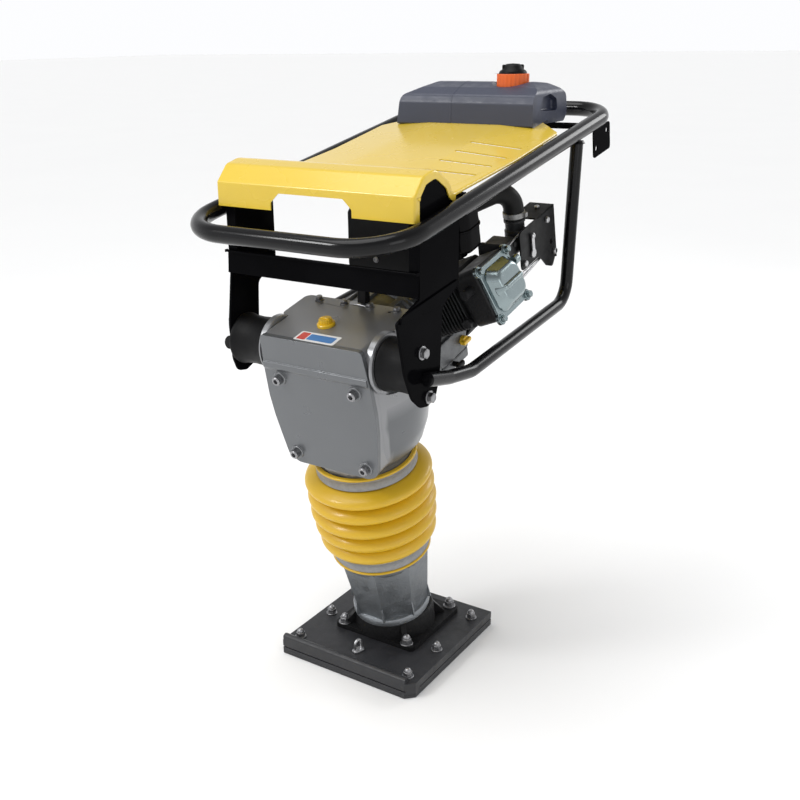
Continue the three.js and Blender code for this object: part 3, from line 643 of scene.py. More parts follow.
def make_flange():
    base = SHOE_TOP + 0.3
    plate = prism("flange", rounded(176, 176, 10, v=31), base, base + 9)
    boss = spin("boss", [(60, base + 2), (79, base + 2), (78, base + 12), (75, base + 40), (72, base + 46),
                         (68, base + 46), (67, base + 30), (60, base + 30)], shift(0, 20, 0),
                closed=True)
    plate = fuse(plate, boss)
    for k in range(4):
        place = shift(0, 20, 0) @ rotate("Z", 45 + 90 * k)
        web = prism("web", [(70, base + 4), (98, base + 6), (98, base + 11), (72, base + 40)], -5, 5,
                    place, axis="Y")
        plate = fuse(plate, web)
    finish_piece(paint(soften(plate, 1.8), "flange"), "foot", "flange_black", "leg_flange")


def make_eye():
    """A tall bent loop of round bar standing on a small plate."""
    turned = shift(0, -104, 0) @ rotate("Z", 75)
    base = SHOE_TOP + 2
    loop = smooth(tube("eye", [[-7, 0, base, 0], [-7, 0, base + 21, 6.5], [7, 0, base + 21, 6.5],
                               [7, 0, base, 0]], 2.6, turned))
    foot = soften(prism("eye_foot", rounded(24, 14, 5), SHOE_TOP + 0.3, SHOE_TOP + 4, turned), 0.8)
    piece = gather("lifting_loop", [loop, foot])
    finish_piece(paint(piece, "steel"), "foot", "eye_steel", "lifting_eye")


def make_leg():
    """An eight-sided tapering casting between a base ring and the collar under the clamp."""
    sides = 8
    low, high = (polygon(r, sides, math.pi / sides) for r in (71, 86))
    shaft = loft("leg", low, high, 92, 214, LEG)
    bore = rod("bore", 58.5, 140, LEG @ shift(0, 0, 96), 96)
    well = rod("well", 74.6, 60, LEG @ shift(0, 0, 186), 96, end=78.2)
    shaft = soften(carve(shaft, bore, well), 2.5, 2, 30)
    webs = [soften(prism("leg_web", [(70, 93), (78, 93), (74, 130)], -1.5, 1.5,
                         LEG @ rotate("Z", 22.5 + 45 * k), axis="Y"), 0.6, 2)
            for k in range(sides)]
    ring = spin("leg_ring", [(55, 62), (66, 62), (66, 80), (71.5, 80), (73, 82), (73, 91), (71, 94),
                             (58.5, 98), (55, 95)], LEG, closed=True)
    collar = spin("leg_collar", [(78.2, 205), (80, 205), (84, 213), (84, 256), (82, 258), (78.2, 258)], LEG,
                  closed=True)
    leg = gather("leg_casting", [shaft, smooth(ring), smooth(collar), *webs])
    finish_piece(paint(leg, "leg"), "foot", "leg_cast", "cast_leg")


def make_clamp(name, low, body, node):
    r, h = 88, 20
    band = spin("band", [(r, low), (r + 2, low + 0.4), (r + 2.5, low + 1.6), (r + 1.6, low + 3),
                         (r + 1.6, low + h - 3), (r + 2.5, low + h - 1.6), (r + 2, low + h - 0.4),
                         (r, low + h)], LEG, 128, closed=True)
    house = soften(prism("house", rounded(13, 15, 2.5, u=-r - 8.5, v=low + h / 2), -12, 12, LEG, axis="Y"), 1)
    screw = rod("screw", 3, 40, LEG @ towards("Y", -r - 9, -20, low + h / 2), 24)
    head = soften(prism("head", hexagon(6), 0, 5, LEG @ towards("Y", -r - 9, -25, low + h / 2)), 0.6)
    piece = gather(name, [smooth(band), house, smooth(screw), head])
    finish_piece(paint(piece, "clamp"), body, "clamp_steel", node)


def make_bellows():
    """Five folds, slim at the bottom clamp and full at the top, with a lip past each clamp."""
    neck, low, high, waves, steps = 87.7, 221, 429, 5, 150
    from_, to = 247, 403
    outside = [(84.7, low), (90, low), (92, low + 1.2), (92, low + 3.4), (90, low + 4.6), (neck, low + 4.8),
               (neck, from_)]
    inside = []
    for i in range(1, steps):
        t = i / steps
        fold = abs(math.sin(math.pi * waves * t)) ** 0.72
        root = 7 * min(1, 5 * min(t, 1 - t))
        crest = 15 + 11.5 * min(1, 2.1 * t) ** 0.7
        z = from_ + (to - from_) * t
        r = neck + root + (crest - root) * fold
        outside.append((r, z))
        inside.append((r - 3.5, z))
    outside += [(neck, to), (neck, high - 4.8), (90, high - 4.6), (92, high - 3.4), (92, high - 1.2),
                (90, high), (84.7, high)]
    section = outside + [(84.7, to)] + inside[::-1] + [(84.7, from_)]
    piece = smooth(spin("bellows_skin", section, LEG, 144, closed=True), 60)
    paint(piece, "bellows")
    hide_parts("bellows")
    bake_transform(piece)


def make_springs():
    """Two coils on the ram: under the piston, and between the piston and the ram's cap."""
    coil, wire, steps = 37, 5, 28
    for name, node, low, high, turns, below, above in (
        ("coil_low", "lower_spring", 109, 245, 5, "foot", "casing"),
        ("coil_high", "upper_spring", 263, 363, 4, "casing", "foot"),
    ):
        path = []
        for k in range(steps * turns + 1):
            angle = math.tau * k / steps
            path.append(Vector((coil * math.cos(angle), coil * math.sin(angle),
                                low + wire + (high - low - 2 * wire) * k / (steps * turns))))
        spring = smooth(sweep(name, path, wire, LEG, sides=6))
        paint(spring, "spring")
        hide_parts(node)
        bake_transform(spring)


# ---- gear case
def filleted(points, steps=6):
    """An open line through (u, v, radius) corners, with arcs at the corners."""
    made = []
    for i, (u, v, r) in enumerate(points):
        if not r or i in (0, len(points) - 1):
            made.append((u, v))
            continue
        at = Vector((u, v))
        back = (Vector(points[i - 1][:2]) - at).normalized()
        ahead = (Vector(points[i + 1][:2]) - at).normalized()
        half = back.angle(ahead) / 2
        enter = at + back * (r / math.tan(half))
        leave = at + ahead * (r / math.tan(half))
        centre = at + (back + ahead).normalized() * (r / math.sin(half))
        for k in range(steps + 1):
            arm = (enter - centre).lerp(leave - centre, k / steps).normalized() * r
            made.append(tuple(centre + arm))
    return made


def closed_line(points):
    """A closed outline whose first corner is sharp or lies along a straight side."""
    return filleted(points + points[:1])[:-1]


COVER = [(0, CASE_TOP, 0), (99, CASE_TOP, 7), (104, 634, 30), (106, 575, 60), (103, 535, 60),
         (97, 497, 60), (90, 455, 20), (70, 446, 12), (0, 446, 0)]


def cover_outline(grow=0.0):
    right = filleted([(u + (grow if u else 0), v, r) for u, v, r in COVER])
    return right + [(-u, v) for u, v in right[::-1][1:-1]]


SCREWS = [(-75, 612), (75, 612), (-71, 468), (71, 468)]


def make_case():
    front, back = -82, 60
    shell = prism("case", cover_outline(), front, back, LEG, axis="Y")
    barrel = spin("barrel", [(0, 398), (82, 398), (83, 430), (87, 442), (108, 462), (120, 494), (128, 540),
                             (129, 575), (128, 610), (119, 645), (104, 668), (0, 668)], LEG, 96)
    keep = block("keep", -140, 140, front, back, 380, 700, LEG)
    barrel = carve(barrel, keep, keep="INTERSECT")
    flat = prism("flat", rounded(224, 78, 12, v=21), 600, 689, LEG)
    bell = rod("bell", 90, 12, LEG @ towards("Y", 0, 48, SHAFT))
    bosses, seats = [], []
    for side in (-1, 1):
        start = 98 if side > 0 else -112
        bosses.append(rod("boss", 50, 14, LEG @ towards("X", start, *MOUNT_AXIS), 96, edge=2))
        seats.append(rod("seat", 50.2, 30, LEG @ towards("X", 112 if side > 0 else -142, *MOUNT_AXIS), 96))
    case = fuse(shell, barrel, flat, bell, *bosses)
    ahead = block("ahead", -107.7, 107.7, -160, front - 0.05, 400, 720, LEG)
    hole = rod("hole", 3.5, 30, LEG @ shift(68, 42, 670), 32)
    inside = [block("chamber", -86, 86, front - 1, 48, 458, 676, LEG),
              rod("neck", 74.3, 50.3, LEG @ shift(0, 0, 390), 96),
              rod("throat", 62, 40, LEG @ shift(0, 0, 430), 96),
              rod("pinion_bore", 26, 50, LEG @ towards("Y", 0, 30, SHAFT), 64),
              rod("wheel_bore", 22, 26, LEG @ towards("Y", 0, 30, 523), 64)]
    case = carve(case, ahead, hole, *seats, *inside)
    case = soften(case, 2.2, 3, 32)
    finish_piece(paint(case, "case"), "casing", "casing_grey", "gear_housing")

    face = -91.3
    plate = prism("cover", cover_outline(1.0), face, front - 0.3, LEG, axis="Y")
    bar = prism("bar", filleted([(face + 2, 643, 0), (face - 3, 641, 2), (face - 4, 632, 3),
                                 (face + 2, 622, 0)]), -103, 103, LEG, axis="X")
    plate = fuse(plate, bar)
    for x, z in SCREWS:
        plate = fuse(plate, rod("pad", 12, 5, LEG @ towards("Y", x, face - 3, z), 48, edge=1))
    finish_piece(paint(soften(plate, 2.4, 4), "case"), "casing", "casing_grey", "front_cover")
    for k, (x, z) in enumerate(SCREWS):
        head = socket_screw(f"cover_screw_{k + 1}", 8.2, 10, LEG @ shift(x, face - 3.2, z)
                            @ rotate("X", 90))
        finish_piece(paint(head, "dark_steel"), "casing", "bolt_steel", f"cover_bolt_{k + 1}")


def make_case_trim():
    seat = LEG @ shift(-9, -29, 689.3)
    flange = spin("plug", [(0, 0), (15, 0), (15, 4), (13.5, 5.5), (0, 5.5)], seat, 64)
    grip = soften(prism("plug_grip", knurled(11, 10.2, 64, 2), 5, 12, seat), 0.6, 2)
    slot_bar = soften(block("plug_bar", -8, 8, -2, 2, 11, 14, seat), 0.8)
    plug = gather("case_plug", [smooth(flange), grip, slot_bar])
    finish_piece(paint(plug, "plug"), "casing", "plug_yellow", "filler_plug")

    label = shift(4, -72, 689.25)
    white = smooth(prism("label", rounded(78, 28, 3), 0, 0.25, LEG @ label), 30)
    red = smooth(prism("label_red", rounded(16, 22, 2, u=-27), 0.2, 0.35, LEG @ label), 30)
    blue = smooth(prism("label_blue", rounded(50, 18, 2, u=8), 0.2, 0.35, LEG @ label), 30)
    for piece, color in ((white, (0.8, 0.8, 0.8)), (red, (0.6, 0.06, 0.04)), (blue, (0.05, 0.2, 0.5))):
        piece.data.materials.append(gloss_paint(piece.name + "_ink", color, 0.35, 0.2))
    finish_piece(gather("blank_label", [white, red, blue]), "casing", "casing_grey")

    bolts = []
    for x in (-78, -26, 26, 78):
        at = LEG @ shift(x, 48, 689.3)
        bolts += [washer("w", 8, at, 1.6)] + hex_bolt("b", 6.5, at @ shift(0, 0, 1.6), 5)
    finish_piece(paint(gather("case_bolts", bolts), "dark_steel"), "casing", "bolt_steel")


def make_mounts():
    for name, side in (("left", 1), ("right", -1)):
        inner, outer, r = 112.3, 180, 43
        profile = [(0, inner), (r, inner), (r + 1, inner + 2), (r + 1, inner + 5), (r - 1, inner + 8),
                   (r - 2.5, (inner + outer) / 2), (r - 1, outer - 8), (r + 1, outer - 5), (r + 1, outer - 2),
                   (r, outer), (0, outer)]
        place = LEG @ shift(0, *MOUNT_AXIS) @ rotate("Y", side * 90)
        mount = outward(smooth(spin(f"rubber_mount_{name}", profile, place, 96), 40))
        finish_piece(paint(mount, "rubber"), "casing", "mount_rubber", f"shock_mount_{name}")


# ---- engine
def make_engine():
    place = ENGINE
    bell = spin("bell_ring", [(78, 60.3), (84, 60.3), (86, 64), (86, 70), (84, 72), (84, 108), (88, 112),
                              (88, 118), (78, 118)], ENGINE @ rotate("X", -90), 96, closed=True)
    foot = soften(block("bell_foot", -60, 60, 62, 116, -90, -76, place), 2)
    ribs = [soften(prism("rib", [(82, -4), (90, -4), (90, 4), (82, 4)], 72, 110, place
                         @ rotate("Y", 30 * k) @ rotate("X", 90)
                         @ Matrix.Scale(-1, 4, (0, 0, 1))), 1) for k in range(12)]
    finish_piece(paint(gather("clutch_bell", [smooth(bell), foot, *ribs]), "engine"),
                 "casing", "engine_alloy", "clutch_housing")

    outline = closed_line([(0, -72, 0), (64, -72, 10), (82, -54, 14), (82, 30, 16), (58, 74, 18),
                           (-30, 74, 18), (-74, 40, 22), (-74, -54, 18), (-62, -72, 10)])
    crankcase = soften(prism("crankcase", outline, 118.3, 250, place, axis="Y"), 3)
    base = soften(prism("engine_base", rounded(162, 114, 10, u=11, v=179), -88, -70, place), 2.5)
    ribs = [soften(block("case_rib", -78, 84, 126, 242, z, z + 4, place), 1.2) for z in (-40, -16, 8)]
    bolts = []
    for u, v in ((60, -60), (70, 20), (-60, 28), (-62, -44)):
        at = place @ shift(u, 118, v) @ rotate("X", 90)
        bolts += hex_bolt("cb", 6, at, 4)
    side = soften(prism("side_cover", rounded(96, 46, 12, u=182, v=-46), 70, 92, place, axis="X"), 2.5)
    rim = soften(prism("side_gasket", rounded(110, 58, 16, u=182, v=-46), 74, 85, place, axis="X"), 1)
    for u, v in ((134, -66), (182, -71), (230, -66), (134, -26), (230, -26)):
        bolts += hex_bolt("sb", 5.5, place @ towards("X", 85, u, v), 5)
    body = gather("engine_body", [crankcase, base, side, rim, *ribs, *bolts])
    finish_piece(paint(body, "engine"), "casing", "engine_alloy", "engine_block")
    stick = gather("dipstick", [smooth(rod("stick", 9, 10, place @ towards("X", 90, 214, -48), 32)),
                                soften(block("stick_bar", 97, 105, 202, 226, -52, -44, place), 2)])
    finish_piece(paint(stick, "plug"), "casing", "plug_yellow")
    knob = gather("drain_knob", [smooth(rod("knob_stem", 5, 16, place @ towards("X", 88, 176, -76), 32)),
                                 soften(block("knob_bar", 102, 110, 164, 188, -81, -71, place), 3)])
    finish_piece(paint(knob, "box"), "casing", "box_black")

    core = prism("core", rounded(86, 84, 18, u=191, v=2), 68.3, HEAD, CYLINDER, axis="X")
    fins = []
    for x in range(78, HEAD - 48, 7):
        fin = prism("fin", rounded(108, 100, 14, u=192, v=4), x, x + 2.8, CYLINDER, axis="X")
        fins.append(soften(fin, 0.8, 2))
    head = soften(prism("head", rounded(104, 98, 14, u=192, v=1), 166, HEAD, CYLINDER, axis="X"), 3)
    plug = [smooth(rod("spark", 8, 26, CYLINDER @ towards("Y", 188, 118, 20), 32)),
            *hex_bolt("stud", 9, CYLINDER @ towards("Y", 160, 134, -30)
                      @ rotate("X", 180), 8)]
    finish_piece(paint(gather("cylinder_fins", [smooth(core), *fins, head, *plug]), "fins"),
                 "casing", "engine_alloy", "engine_cylinder")

    ears = [(-47, -43), (47, -43), (47, 43), (-47, 43)]
    rim = soften(prism("rim", rounded(100, 94, 14, u=192), HEAD + 0.3, HEAD + 7, CYLINDER, axis="X"), 1.2)
    lobes = [smooth(rod("lobe", 10, 6.7, CYLINDER @ towards("X", HEAD + 0.3, 192 + u, v), 40), 30)
             for u, v in ears]
    domes = [soften(loft(name, rounded(*foot, u=192), rounded(*top, u=192), HEAD + low, HEAD + high,
                         CYLINDER, "X"), 4, 5)
             for name, foot, top, low, high in (("dome", (88, 82, 20), (64, 54, 16), 6, 26),
                                                ("ridge", (84, 20, 8), (56, 7, 3), 14, 31))]
    pipe = rod("pipe", 8, 14, CYLINDER @ towards("Y", HEAD + 16, 232, 22), 40, edge=2)
    bolts = []
    for u in (-47, 47):
        for v in (-43, 43):
            at = CYLINDER @ towards("X", HEAD + 7, 192 + u, v)
            bolts += [washer("vw", 8, at, 1.5)] + hex_bolt("vb", 6.2, at @ shift(0, 0, 1.5), 6)
    finish_piece(paint(gather("rocker_cover", [rim, *lobes, *domes, smooth(pipe), *bolts]), "valve"),
                 "casing", "valve_alloy", "valve_cover")


def make_engine_covers():
    back = ENGINE @ rotate("X", -90)
    shell = spin("recoil", [(0, 312), (38, 312), (46, 310), (58, 305), (88, 301), (97, 297), (100, 291),
                            (100, 252), (98, 250.3), (94, 250.3), (94, 288), (88, 294), (56, 300),
                            (0, 304)], back, 96)
    for k in range(16):
        slit = prism("slit", rounded(24, 5, 2.4, u=72), 290, 330, back @ rotate("Z", 22.5 * k))
        shell = carve(shell, slit)
    finish_piece(paint(soften(shell, 0.8, 2), "cowl"), "casing", "cowl_black", "recoil_cover")
    place = LEG @ shift(0, 0, SHAFT + 74)
    grip = soften(prism("starter_bar", rounded(80, 17, 8, 6), 329, 345, place, axis="Y"), 4, 4)
    stem = smooth(rod("starter_stem", 5, 13, LEG @ towards("Y", 0, 317, SHAFT + 74), 32))
    finish_piece(paint(gather("starter_handle", [grip, stem]), "box"), "starter_grip",
                 "grip_black", "pull_grip")


def make_intake():
    body = soften(block("carb", 126, 170, 254, 300, 668, 723, LEG), 4)
    bowl = smooth(rod("bowl", 20, 24, LEG @ shift(148, 277, 645), 64, 17, 2))
    flange = soften(prism("carb_flange", rounded(52, 66, 8, u=148, v=695), 251, 256, LEG, axis="Y"), 1)
    throat = smooth(rod("throat", 18, 60, LEG @ towards("Y", 150, 297, 697), 64, edge=3))
    neck = smooth(spin("carb_neck", [(0, 708), (19, 708), (19, 720), (17, 722), (17, 734), (19, 736),
                                     (19, 740), (0, 740)], LEG @ shift(150, 338, 0), 64))
    screws = [p for y in (262, 292) for p in hex_bolt("cs", 4.5, LEG @ towards("X", 170, y, 713), 3)]
    finish_piece(paint(gather("carb_body", [body, bowl, flange, throat, neck, *screws]), "carb"),
                 "casing", "carb_alloy", "carburettor")
    cable = [tube(f"cable_{k}", [[168, 262 + 12 * k, 678, 0], [173, 300, 650 - 8 * k, 14],
                                 [172, 404, 650, 20], [172, 414, 722, 0]], 2.2, LEG) for k in range(2)]
    spring = tube("governor_rod", [[168, 270, 716, 0], [172, 320, 726, 6], [170, 372, 722, 0]], 1.6, LEG)
    finish_piece(paint(gather("throttle_cables", [*cable, spring]), "steel"), "casing", "bolt_steel")
    hose = smooth(tube("air_hose", [[150, 338, 741, 0], [150, 338, 800, 36], [50, 195, 776, 50],
                                    [50, 137, 789.6, 0]], 18, LEG, sides=12))
    finish_piece(paint(hose, "hose"), "casing", "hose_rubber", "intake_hose")
    band = smooth(spin("hose_band", [(18.1, 744), (19.6, 744.5), (19.6, 753.5), (18.1, 754)],
                          LEG @ shift(150, 338, 0), 64, closed=True))
    lug = soften(block("hose_lug", 167, 175, 334, 342, 745, 753, LEG), 1)
    finish_piece(paint(gather("hose_clamp", [band, lug]), "clamp"), "casing", "clamp_steel")

    side = closed_line([(296, 690, 0), (296, 732, 8), (436, 732, 8), (436, 640, 0), (416, 618, 8),
                        (392, 630, 12), (366, 660, 20), (296, 660, 8)])
    side = prism("control", side, 177, 180, LEG, axis="X")
    side = carve(side, rod("sight", 5, 20, LEG @ towards("X", 170, 416, 668), 32))
    top = block("control_top", 132, 180, 364, 436, 729, 732, LEG)
    rear = block("control_rear", 146, 180, 433, 436, 630, 732, LEG)
    bolts = [paint(p, "steel") for y, z in ((306, 672), (424, 646), (400, 716))
             for p in hex_bolt("kb", 6, LEG @ towards("X", 180, y, z), 5)]
    studs = [paint(p, "steel") for p in hex_bolt("tb", 5, LEG @ shift(158, 412, 732), 4)]
    sheets = [paint(soften(p, 0.8), "box") for p in (side, top, rear)]
    finish_piece(gather("control_case", sheets + bolts + studs), "casing", "box_black", "control_box")
    hub = smooth(rod("lever_hub", 8, 4, LEG @ towards("X", 180.6, 338, 678), 48))
    arm = soften(prism("lever_arm", rounded(9, 42, 4, u=338, v=694), 182, 184.5, LEG, axis="X"), 0.6)
    knob = smooth(rod("lever_knob", 5, 5, LEG @ towards("X", 182, 338, 711), 32, edge=1.5))
    finish_piece(paint(gather("throttle_arm", [hub, arm, knob]), "steel"), "throttle", "bolt_steel",
                 "throttle_lever")

    shell = soften(prism("filter", rounded(154, 80, 12, u=73, v=-60), 746, 850), 4, 4)
    lid = soften(prism("filter_lid", rounded(146, 96, 8, u=73, v=798), -103, -99, axis="Y"), 1.5)
    posts = [soften(block("filter_post", x - 8, x + 8, -84, -70, 687, 748), 1) for x in (10, 136)]
    screws = []
    for x, z in ((22, 772), (54, 768), (22, 836), (124, 836)):
        at = shift(x, -103, z) @ rotate("X", 90)
        screws.append(paint(socket_screw("fs", 5, 2.5, at), "dark_steel"))
    finish_piece(gather("filter_box", [paint(p, "box") for p in (shell, lid, *posts)] + screws),
                 "casing", "box_black", "air_cleaner")

    can = soften(prism("silencer", rounded(64, 62, 20, u=128, v=181), 748, 824, LEG), 7, 5)
    seam = soften(prism("silencer_seam", rounded(68, 66, 21, u=128, v=181), 786, 790, LEG), 1)
    pipe = smooth(rod("tailpipe", 11, 26, LEG @ towards("Y", 128, 210, 778), 64))
    stub = smooth(rod("stub", 12, 16, LEG @ shift(128, 181, 735), 64))
    finish_piece(paint(gather("exhaust_can", [can, seam, pipe, stub]), "cowl"), "casing", "muffler_steel",
                 "muffler")


# ---- handle
RING_HALF, RING_TUBE = 199, 14


def make_ring():
    ring = smooth(tube("grip_ring", [[-RING_HALF, -292, 0, 92], [RING_HALF, -292, 0, 92],
                                     [RING_HALF, 511, 0, 78], [-RING_HALF, 511, 0, 78]],
                       RING_TUBE, RING, cyclic=True))
    finish_piece(paint(ring, "tube"), "handle", "frame_black", "handle_ring")
    for name, side in (("left", 1), ("right", -1)):
        leg = tube(f"lower_tube_{name}", [
            [side * 199, 334, 921, 0], [side * 199, 312, 632, 46], [side * 199, -50, 592, 90],
            [side * 197, -118, 600, 60], [side * 197, -182, 614, 0]], 11.5)
        bead = smooth(spin("bead", [(11, 0), (14.5, 1), (13, 4), (11.2, 6)],
                              shift(side * 199, 334, 914), 48, closed=True))
        smooth(leg)
        finish_piece(paint(gather(f"lower_tube_{name}", [leg, bead]), "tube"), "handle", "frame_black",
                     f"side_tube_{name}")


def make_side_plates():
    arch = [(-184, 736, 0), (-184, 880, 10), (-174, 900, 10), (-155, 912, 14), (-132, 913, 14),
            (-117, 904, 14), (-107, 889, 8), (-99, 874, 6), (-68, 872, 4), (-68, 742, 8), (-117, 709, 14),
            (-124, 602, 30), (-136, 572, 14), (-160, 562, 14), (-182, 566, 14)]
    reaching = [(-206, 586, 30), (-226, 630, 60), (-246, 714, 6)]
    straight = [(-192, 590, 20), (-196, 650, 60)]
    for name, side, lower in (("left", 1, reaching), ("right", -1, straight)):
        x0, x1 = sorted((side * 180.3, side * 184.7))
        plate = soften(prism("plate", closed_line(arch + lower), x0, x1, axis="X"), 1.0)
        lip = soften(block("lip", *sorted((side * 166, side * 181)), -184, -180.5, 742, 846), 0.8)
        sheets = [paint(plate, "frame"), paint(lip, "frame")]
        if side > 0:
            rib = prism("rib", closed_line([(-240, 711, 0), (-236, 722, 3), (-75, 746, 3), (-72, 738, 0),
                                            (-118, 716, 10)]), 184.2, 188, axis="X")
            sheets.append(paint(soften(rib, 0.8), "frame"))
        bolts = []
        for y, z in ((-178, 653), (-158, 577)):
            at = towards("X", side * 184.7, y, z) if side > 0 else (
                shift(-184.7, y, z) @ rotate("Y", -90))
            bolts.append(paint(washer("w", 11, at), "dark_steel"))
            head = hex_bolt("b", 8.5, at @ shift(0, 0, 2.2), 7)
            bolts += [paint(b, "dark_steel") for b in head]
        piece = gather(f"mount_plate_{name}", sheets + bolts)
        finish_piece(piece, "handle", "frame_black", f"side_plate_{name}")


def make_bars():
    line = closed_line([(-188, 738, 0), (-184.3, 738, 0), (-184.3, 772.6, 0), (-188, 773, 0),
                        (-192, 773.4, 0), (-192, 776.4, 0), (-184.3, 776.4, 2)])
    bar = soften(prism("front_bar", line, -184.7, 184.7, axis="X"), 0.8)
    finish_piece(paint(bar, "frame"), "handle", "frame_black", "cross_bar")
    bar = soften(block("tank_rail", -184.7, 184.7, 342, 376, 939, 947.5), 1.2)
    finish_piece(paint(bar, "frame"), "handle", "frame_black", "tank_bar")
    plate = prism("lever_plate", rounded(78, 52, 6, u=448, v=-41), 197.5, 200.5, RING, axis="X")
    plate = carve(plate, rod("h", 5, 20, RING @ towards("X", 190, 472, -29), 32),
                  rod("h", 5, 20, RING @ towards("X", 190, 422, -51), 32))
    finish_piece(paint(soften(plate, 0.8), "frame"), "handle", "frame_black", "throttle_bracket")


def hood_fall(x, y):
    """How far the panel's sides fall below its flat middle."""
    return 0.085 * max(0, abs(x) - 75) * min(1, max(0, (y + 84) / 204))


def hood_bed():
    """The space under the panel, which the tank is cut to sit over."""
    line = [(-84, 850, 0), (334, 890, 0), (334, 960.05, 1), (120, 919.8, 1), (-84, 881.4, 1)]
    places = (-190, -75, 75, 190)
    verts = [(x, y, z - on * hood_fall(x, y)) for x in places for y, z, on in line]
    n = len(line)
    faces = [list(range(n))[::-1], list(range(3 * n, 4 * n))]
    faces += [(k * n + i, k * n + (i + 1) % n, (k + 1) * n + (i + 1) % n, (k + 1) * n + i)
              for k in range(3) for i in range(n)]
    return outward(new_mesh("bed", verts, faces))


def make_hood():
    """One pressed sheet with turned-down edges, an arched front, a mouth and four slots."""
    line = filleted([(-200, 850, 0), (-200, 888, 5), (-176, 914, 16), (-140, 922.5, 34), (-101, 899, 16),
                     (-90, 880, 9), (120, 919.4, 0), (330, 959, 0)], 8)
    half, skirt, ramp_skirt, roll = 187, 13, 5, 4
    across = [(half, -skirt)] + [(half - roll + roll * math.cos(a), -roll + roll * math.sin(a))
                                 for a in [math.pi / 2 * k / 5 for k in range(6)]]
    across += [(x, 0) for x in range(165, 0, -15)]
    across += [(-x, d) for x, d in across[::-1]]
    verts, faces, n = [], [], len(across)
    for i, (y, z) in enumerate(line):
        a, b = Vector(line[max(0, i - 1)]), Vector(line[min(len(line) - 1, i + 1)])
        along = (b - a).normalized()
        deepest = skirt if y < -84 else ramp_skirt
        for x, drop in across:
            drop = max(drop, -deepest)
            verts.append((x, y - along.y * drop, z + along.x * drop - hood_fall(x, y)))
    for i in range(len(line) - 1):
        faces += [(i * n + k, i * n + k + 1, (i + 1) * n + k + 1, (i + 1) * n + k) for k in range(n - 1)]
    sheet = outward(new_mesh("bonnet", verts, faces))
    modifier = sheet.modifiers.new("sheet", "SOLIDIFY")
    modifier.thickness = 2.0 * MM
    modifier.offset = -1
    sheet = as_mesh(sheet)
    mouth = closed_line([(0, 830, 0), (77, 830, 0), (77, 862, 5), (61, 877, 5), (-61, 877, 5),
                         (-77, 862, 5), (-77, 830, 0)])
    mouth = prism("mouth", mouth, -215, -180, axis="Y")
    slots = [prism("slot", rounded(99, 8, 3.9, 6, u=122.5, v=7 + 53 * k), 870, 990) for k in range(4)]
    corners = [prism("corner", [(side * 121, 332), (side * 190, 271), (side * 190, 345),
                                (side * 121, 345)], 850, 1000) for side in (-1, 1)]
    sheet = carve(sheet, mouth, *slots, *corners)
    sheet = soften(sheet, 0.5, 2, 40)
    finish_piece(paint(sheet, "hood"), "handle", "hood_yellow", "hood")
    feet = [soften(block("foot", *sorted((side * 176, side * 184.5)), y - 10, y + 10, z - 14, z), 1)
            for side in (-1, 1) for y, z in ((-56, 876), (215, 922))]
    finish_piece(paint(gather("hood_brackets", feet), "frame"), "handle", "frame_black")


def tank_seam(side):
    """The raised mould line round the middle of the tank."""
    centre = Vector((346, 985))
    grown = [tuple(centre + (Vector(p) - centre) * 1.008) for p in side]
    return soften(carve(prism("seam", grown, -30, -27, axis="X"), hood_bed()), 0.5)


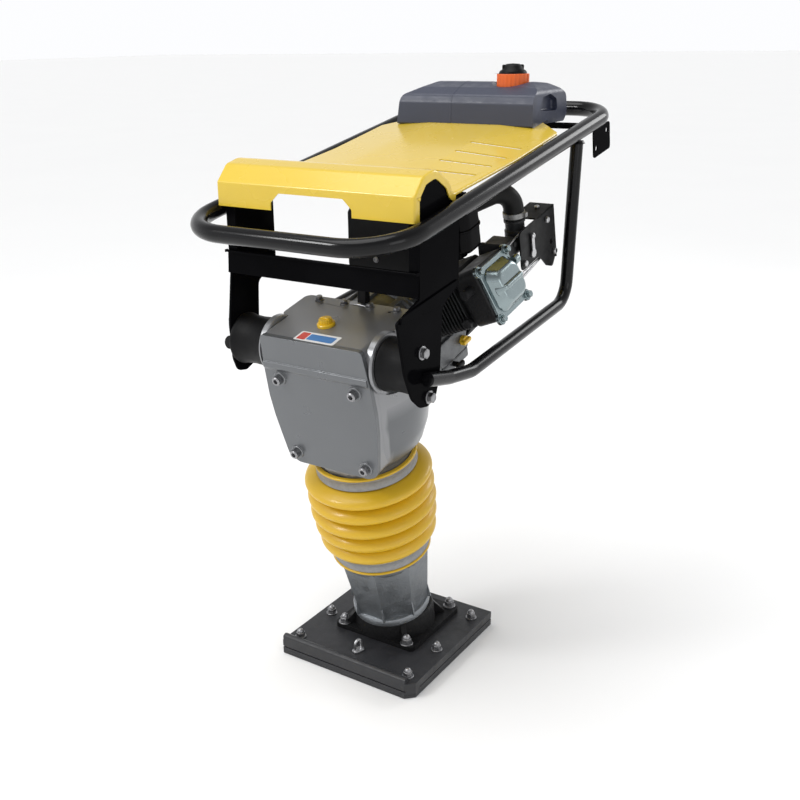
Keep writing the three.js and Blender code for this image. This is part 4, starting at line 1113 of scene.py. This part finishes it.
def make_tank():
    side = closed_line([(336, 955, 0), (336, 948, 2), (406, 948, 10), (420, 962, 14), (414, 996, 16),
                        (380, 1017, 22), (336, 1021, 40), (304, 1011, 20), (279, 999, 10), (273, 985, 14),
                        (273, 946, 3), (278, 944, 2), (333, 952, 1)])
    tank = prism("tank", side, -149, 139, axis="X")
    crown = closed_line([(0, 930, 0), (139, 930, 0), (139, 1006, 12), (108, 1021, 24), (-88, 1021, 24),
                         (-139, 996, 16), (-149, 930, 0)])
    crown = prism("crown", crown, 260, 430, axis="Y")
    tank = carve(carve(tank, crown, keep="INTERSECT"), hood_bed())
    recess = smooth(spin("recess", [(0, 1004), (33, 1004), (36, 1008), (42, 1030), (0, 1030)],
                            shift(*FILLER, 0), 64))
    grip = closed_line([(306, 971, 0), (376, 969, 6), (372, 990, 8), (346, 1000, 12), (312, 995, 8)])
    grip = soften(prism("grip", grip, 127, 150, axis="X"), 4, 4)
    tank = soften(carve(tank, recess, grip), 5, 5, 32)
    seam = tank_seam(side)
    neck = smooth(spin("neck", [(18, 1000), (24, 1000), (24, 1008), (22.5, 1009), (18, 1009)],
                          shift(*FILLER, 0), 64, closed=True))
    finish_piece(paint(gather("tank_shell", [tank, seam, neck]), "tank"), "handle", "tank_blue_grey",
                 "fuel_tank")


def make_cap():
    at = shift(*FILLER, 1009.3)
    skirt = smooth(spin("skirt", [(0, 0), (28, 0), (28.4, 1), (28.4, 20), (27, 24), (24, 26), (0, 26)], at))
    grip_side = [p for p in knurled(30.6, 29.8, 96, 2) if p[0] * 0.45 - p[1] * 0.9 > 4]
    band = soften(prism("band", grip_side + [(-6, -4)], 1, 25, at), 0.8, 2)
    dome = smooth(spin("dome", [(0, 22), (25, 22), (26, 26), (24, 30), (19, 33), (17, 38), (12, 42),
                                (0, 43)], at), 50)
    bar = soften(block("dome_bar", -20, 20, -3.5, 3.5, 31, 41, at @ Matrix.Rotation(0.6, 4, "Z")), 2.5, 4)
    parts = ((skirt, "pale"), (band, "orange"), (dome, "box"), (bar, "box"))
    cap = gather("filler_cap", [paint(part, look) for part, look in parts])
    finish_piece(cap, "cap", "cap_orange", "tank_cap")


# ---- inner pieces keep their CAD shapes
def finish_inner_nodes():
    looks = {"dark_steel": ("crank_gear", "pinion_shaft", "clutch_drum", "clutch_shoe_1", "clutch_shoe_2",
                            "engine_shaft", "connecting_rod", "crank_bearing", "pinion_bearing"),
             "steel": ("ram_cylinder", "ram_cap", "piston", "guide_cylinder"),
             "engine": ("flywheel",)}
    for look, names in looks.items():
        for name in names:
            node = frame["nodes"][name]
            for material_slot in node.material_slots:
                material_slot.material = MATERIALS[look]


set_stage()
make_shoe()
make_studs()
make_flange()
make_eye()
make_leg()
make_clamp("clamp_low", 226, "foot", "lower_clamp")
make_clamp("clamp_high", 404, "casing", "upper_clamp")
make_bellows()
make_springs()
make_case()
make_case_trim()
make_mounts()
make_engine()
make_engine_covers()
make_intake()
make_ring()
make_side_plates()
make_bars()
make_hood()
make_tank()
make_cap()
finish_inner_nodes()
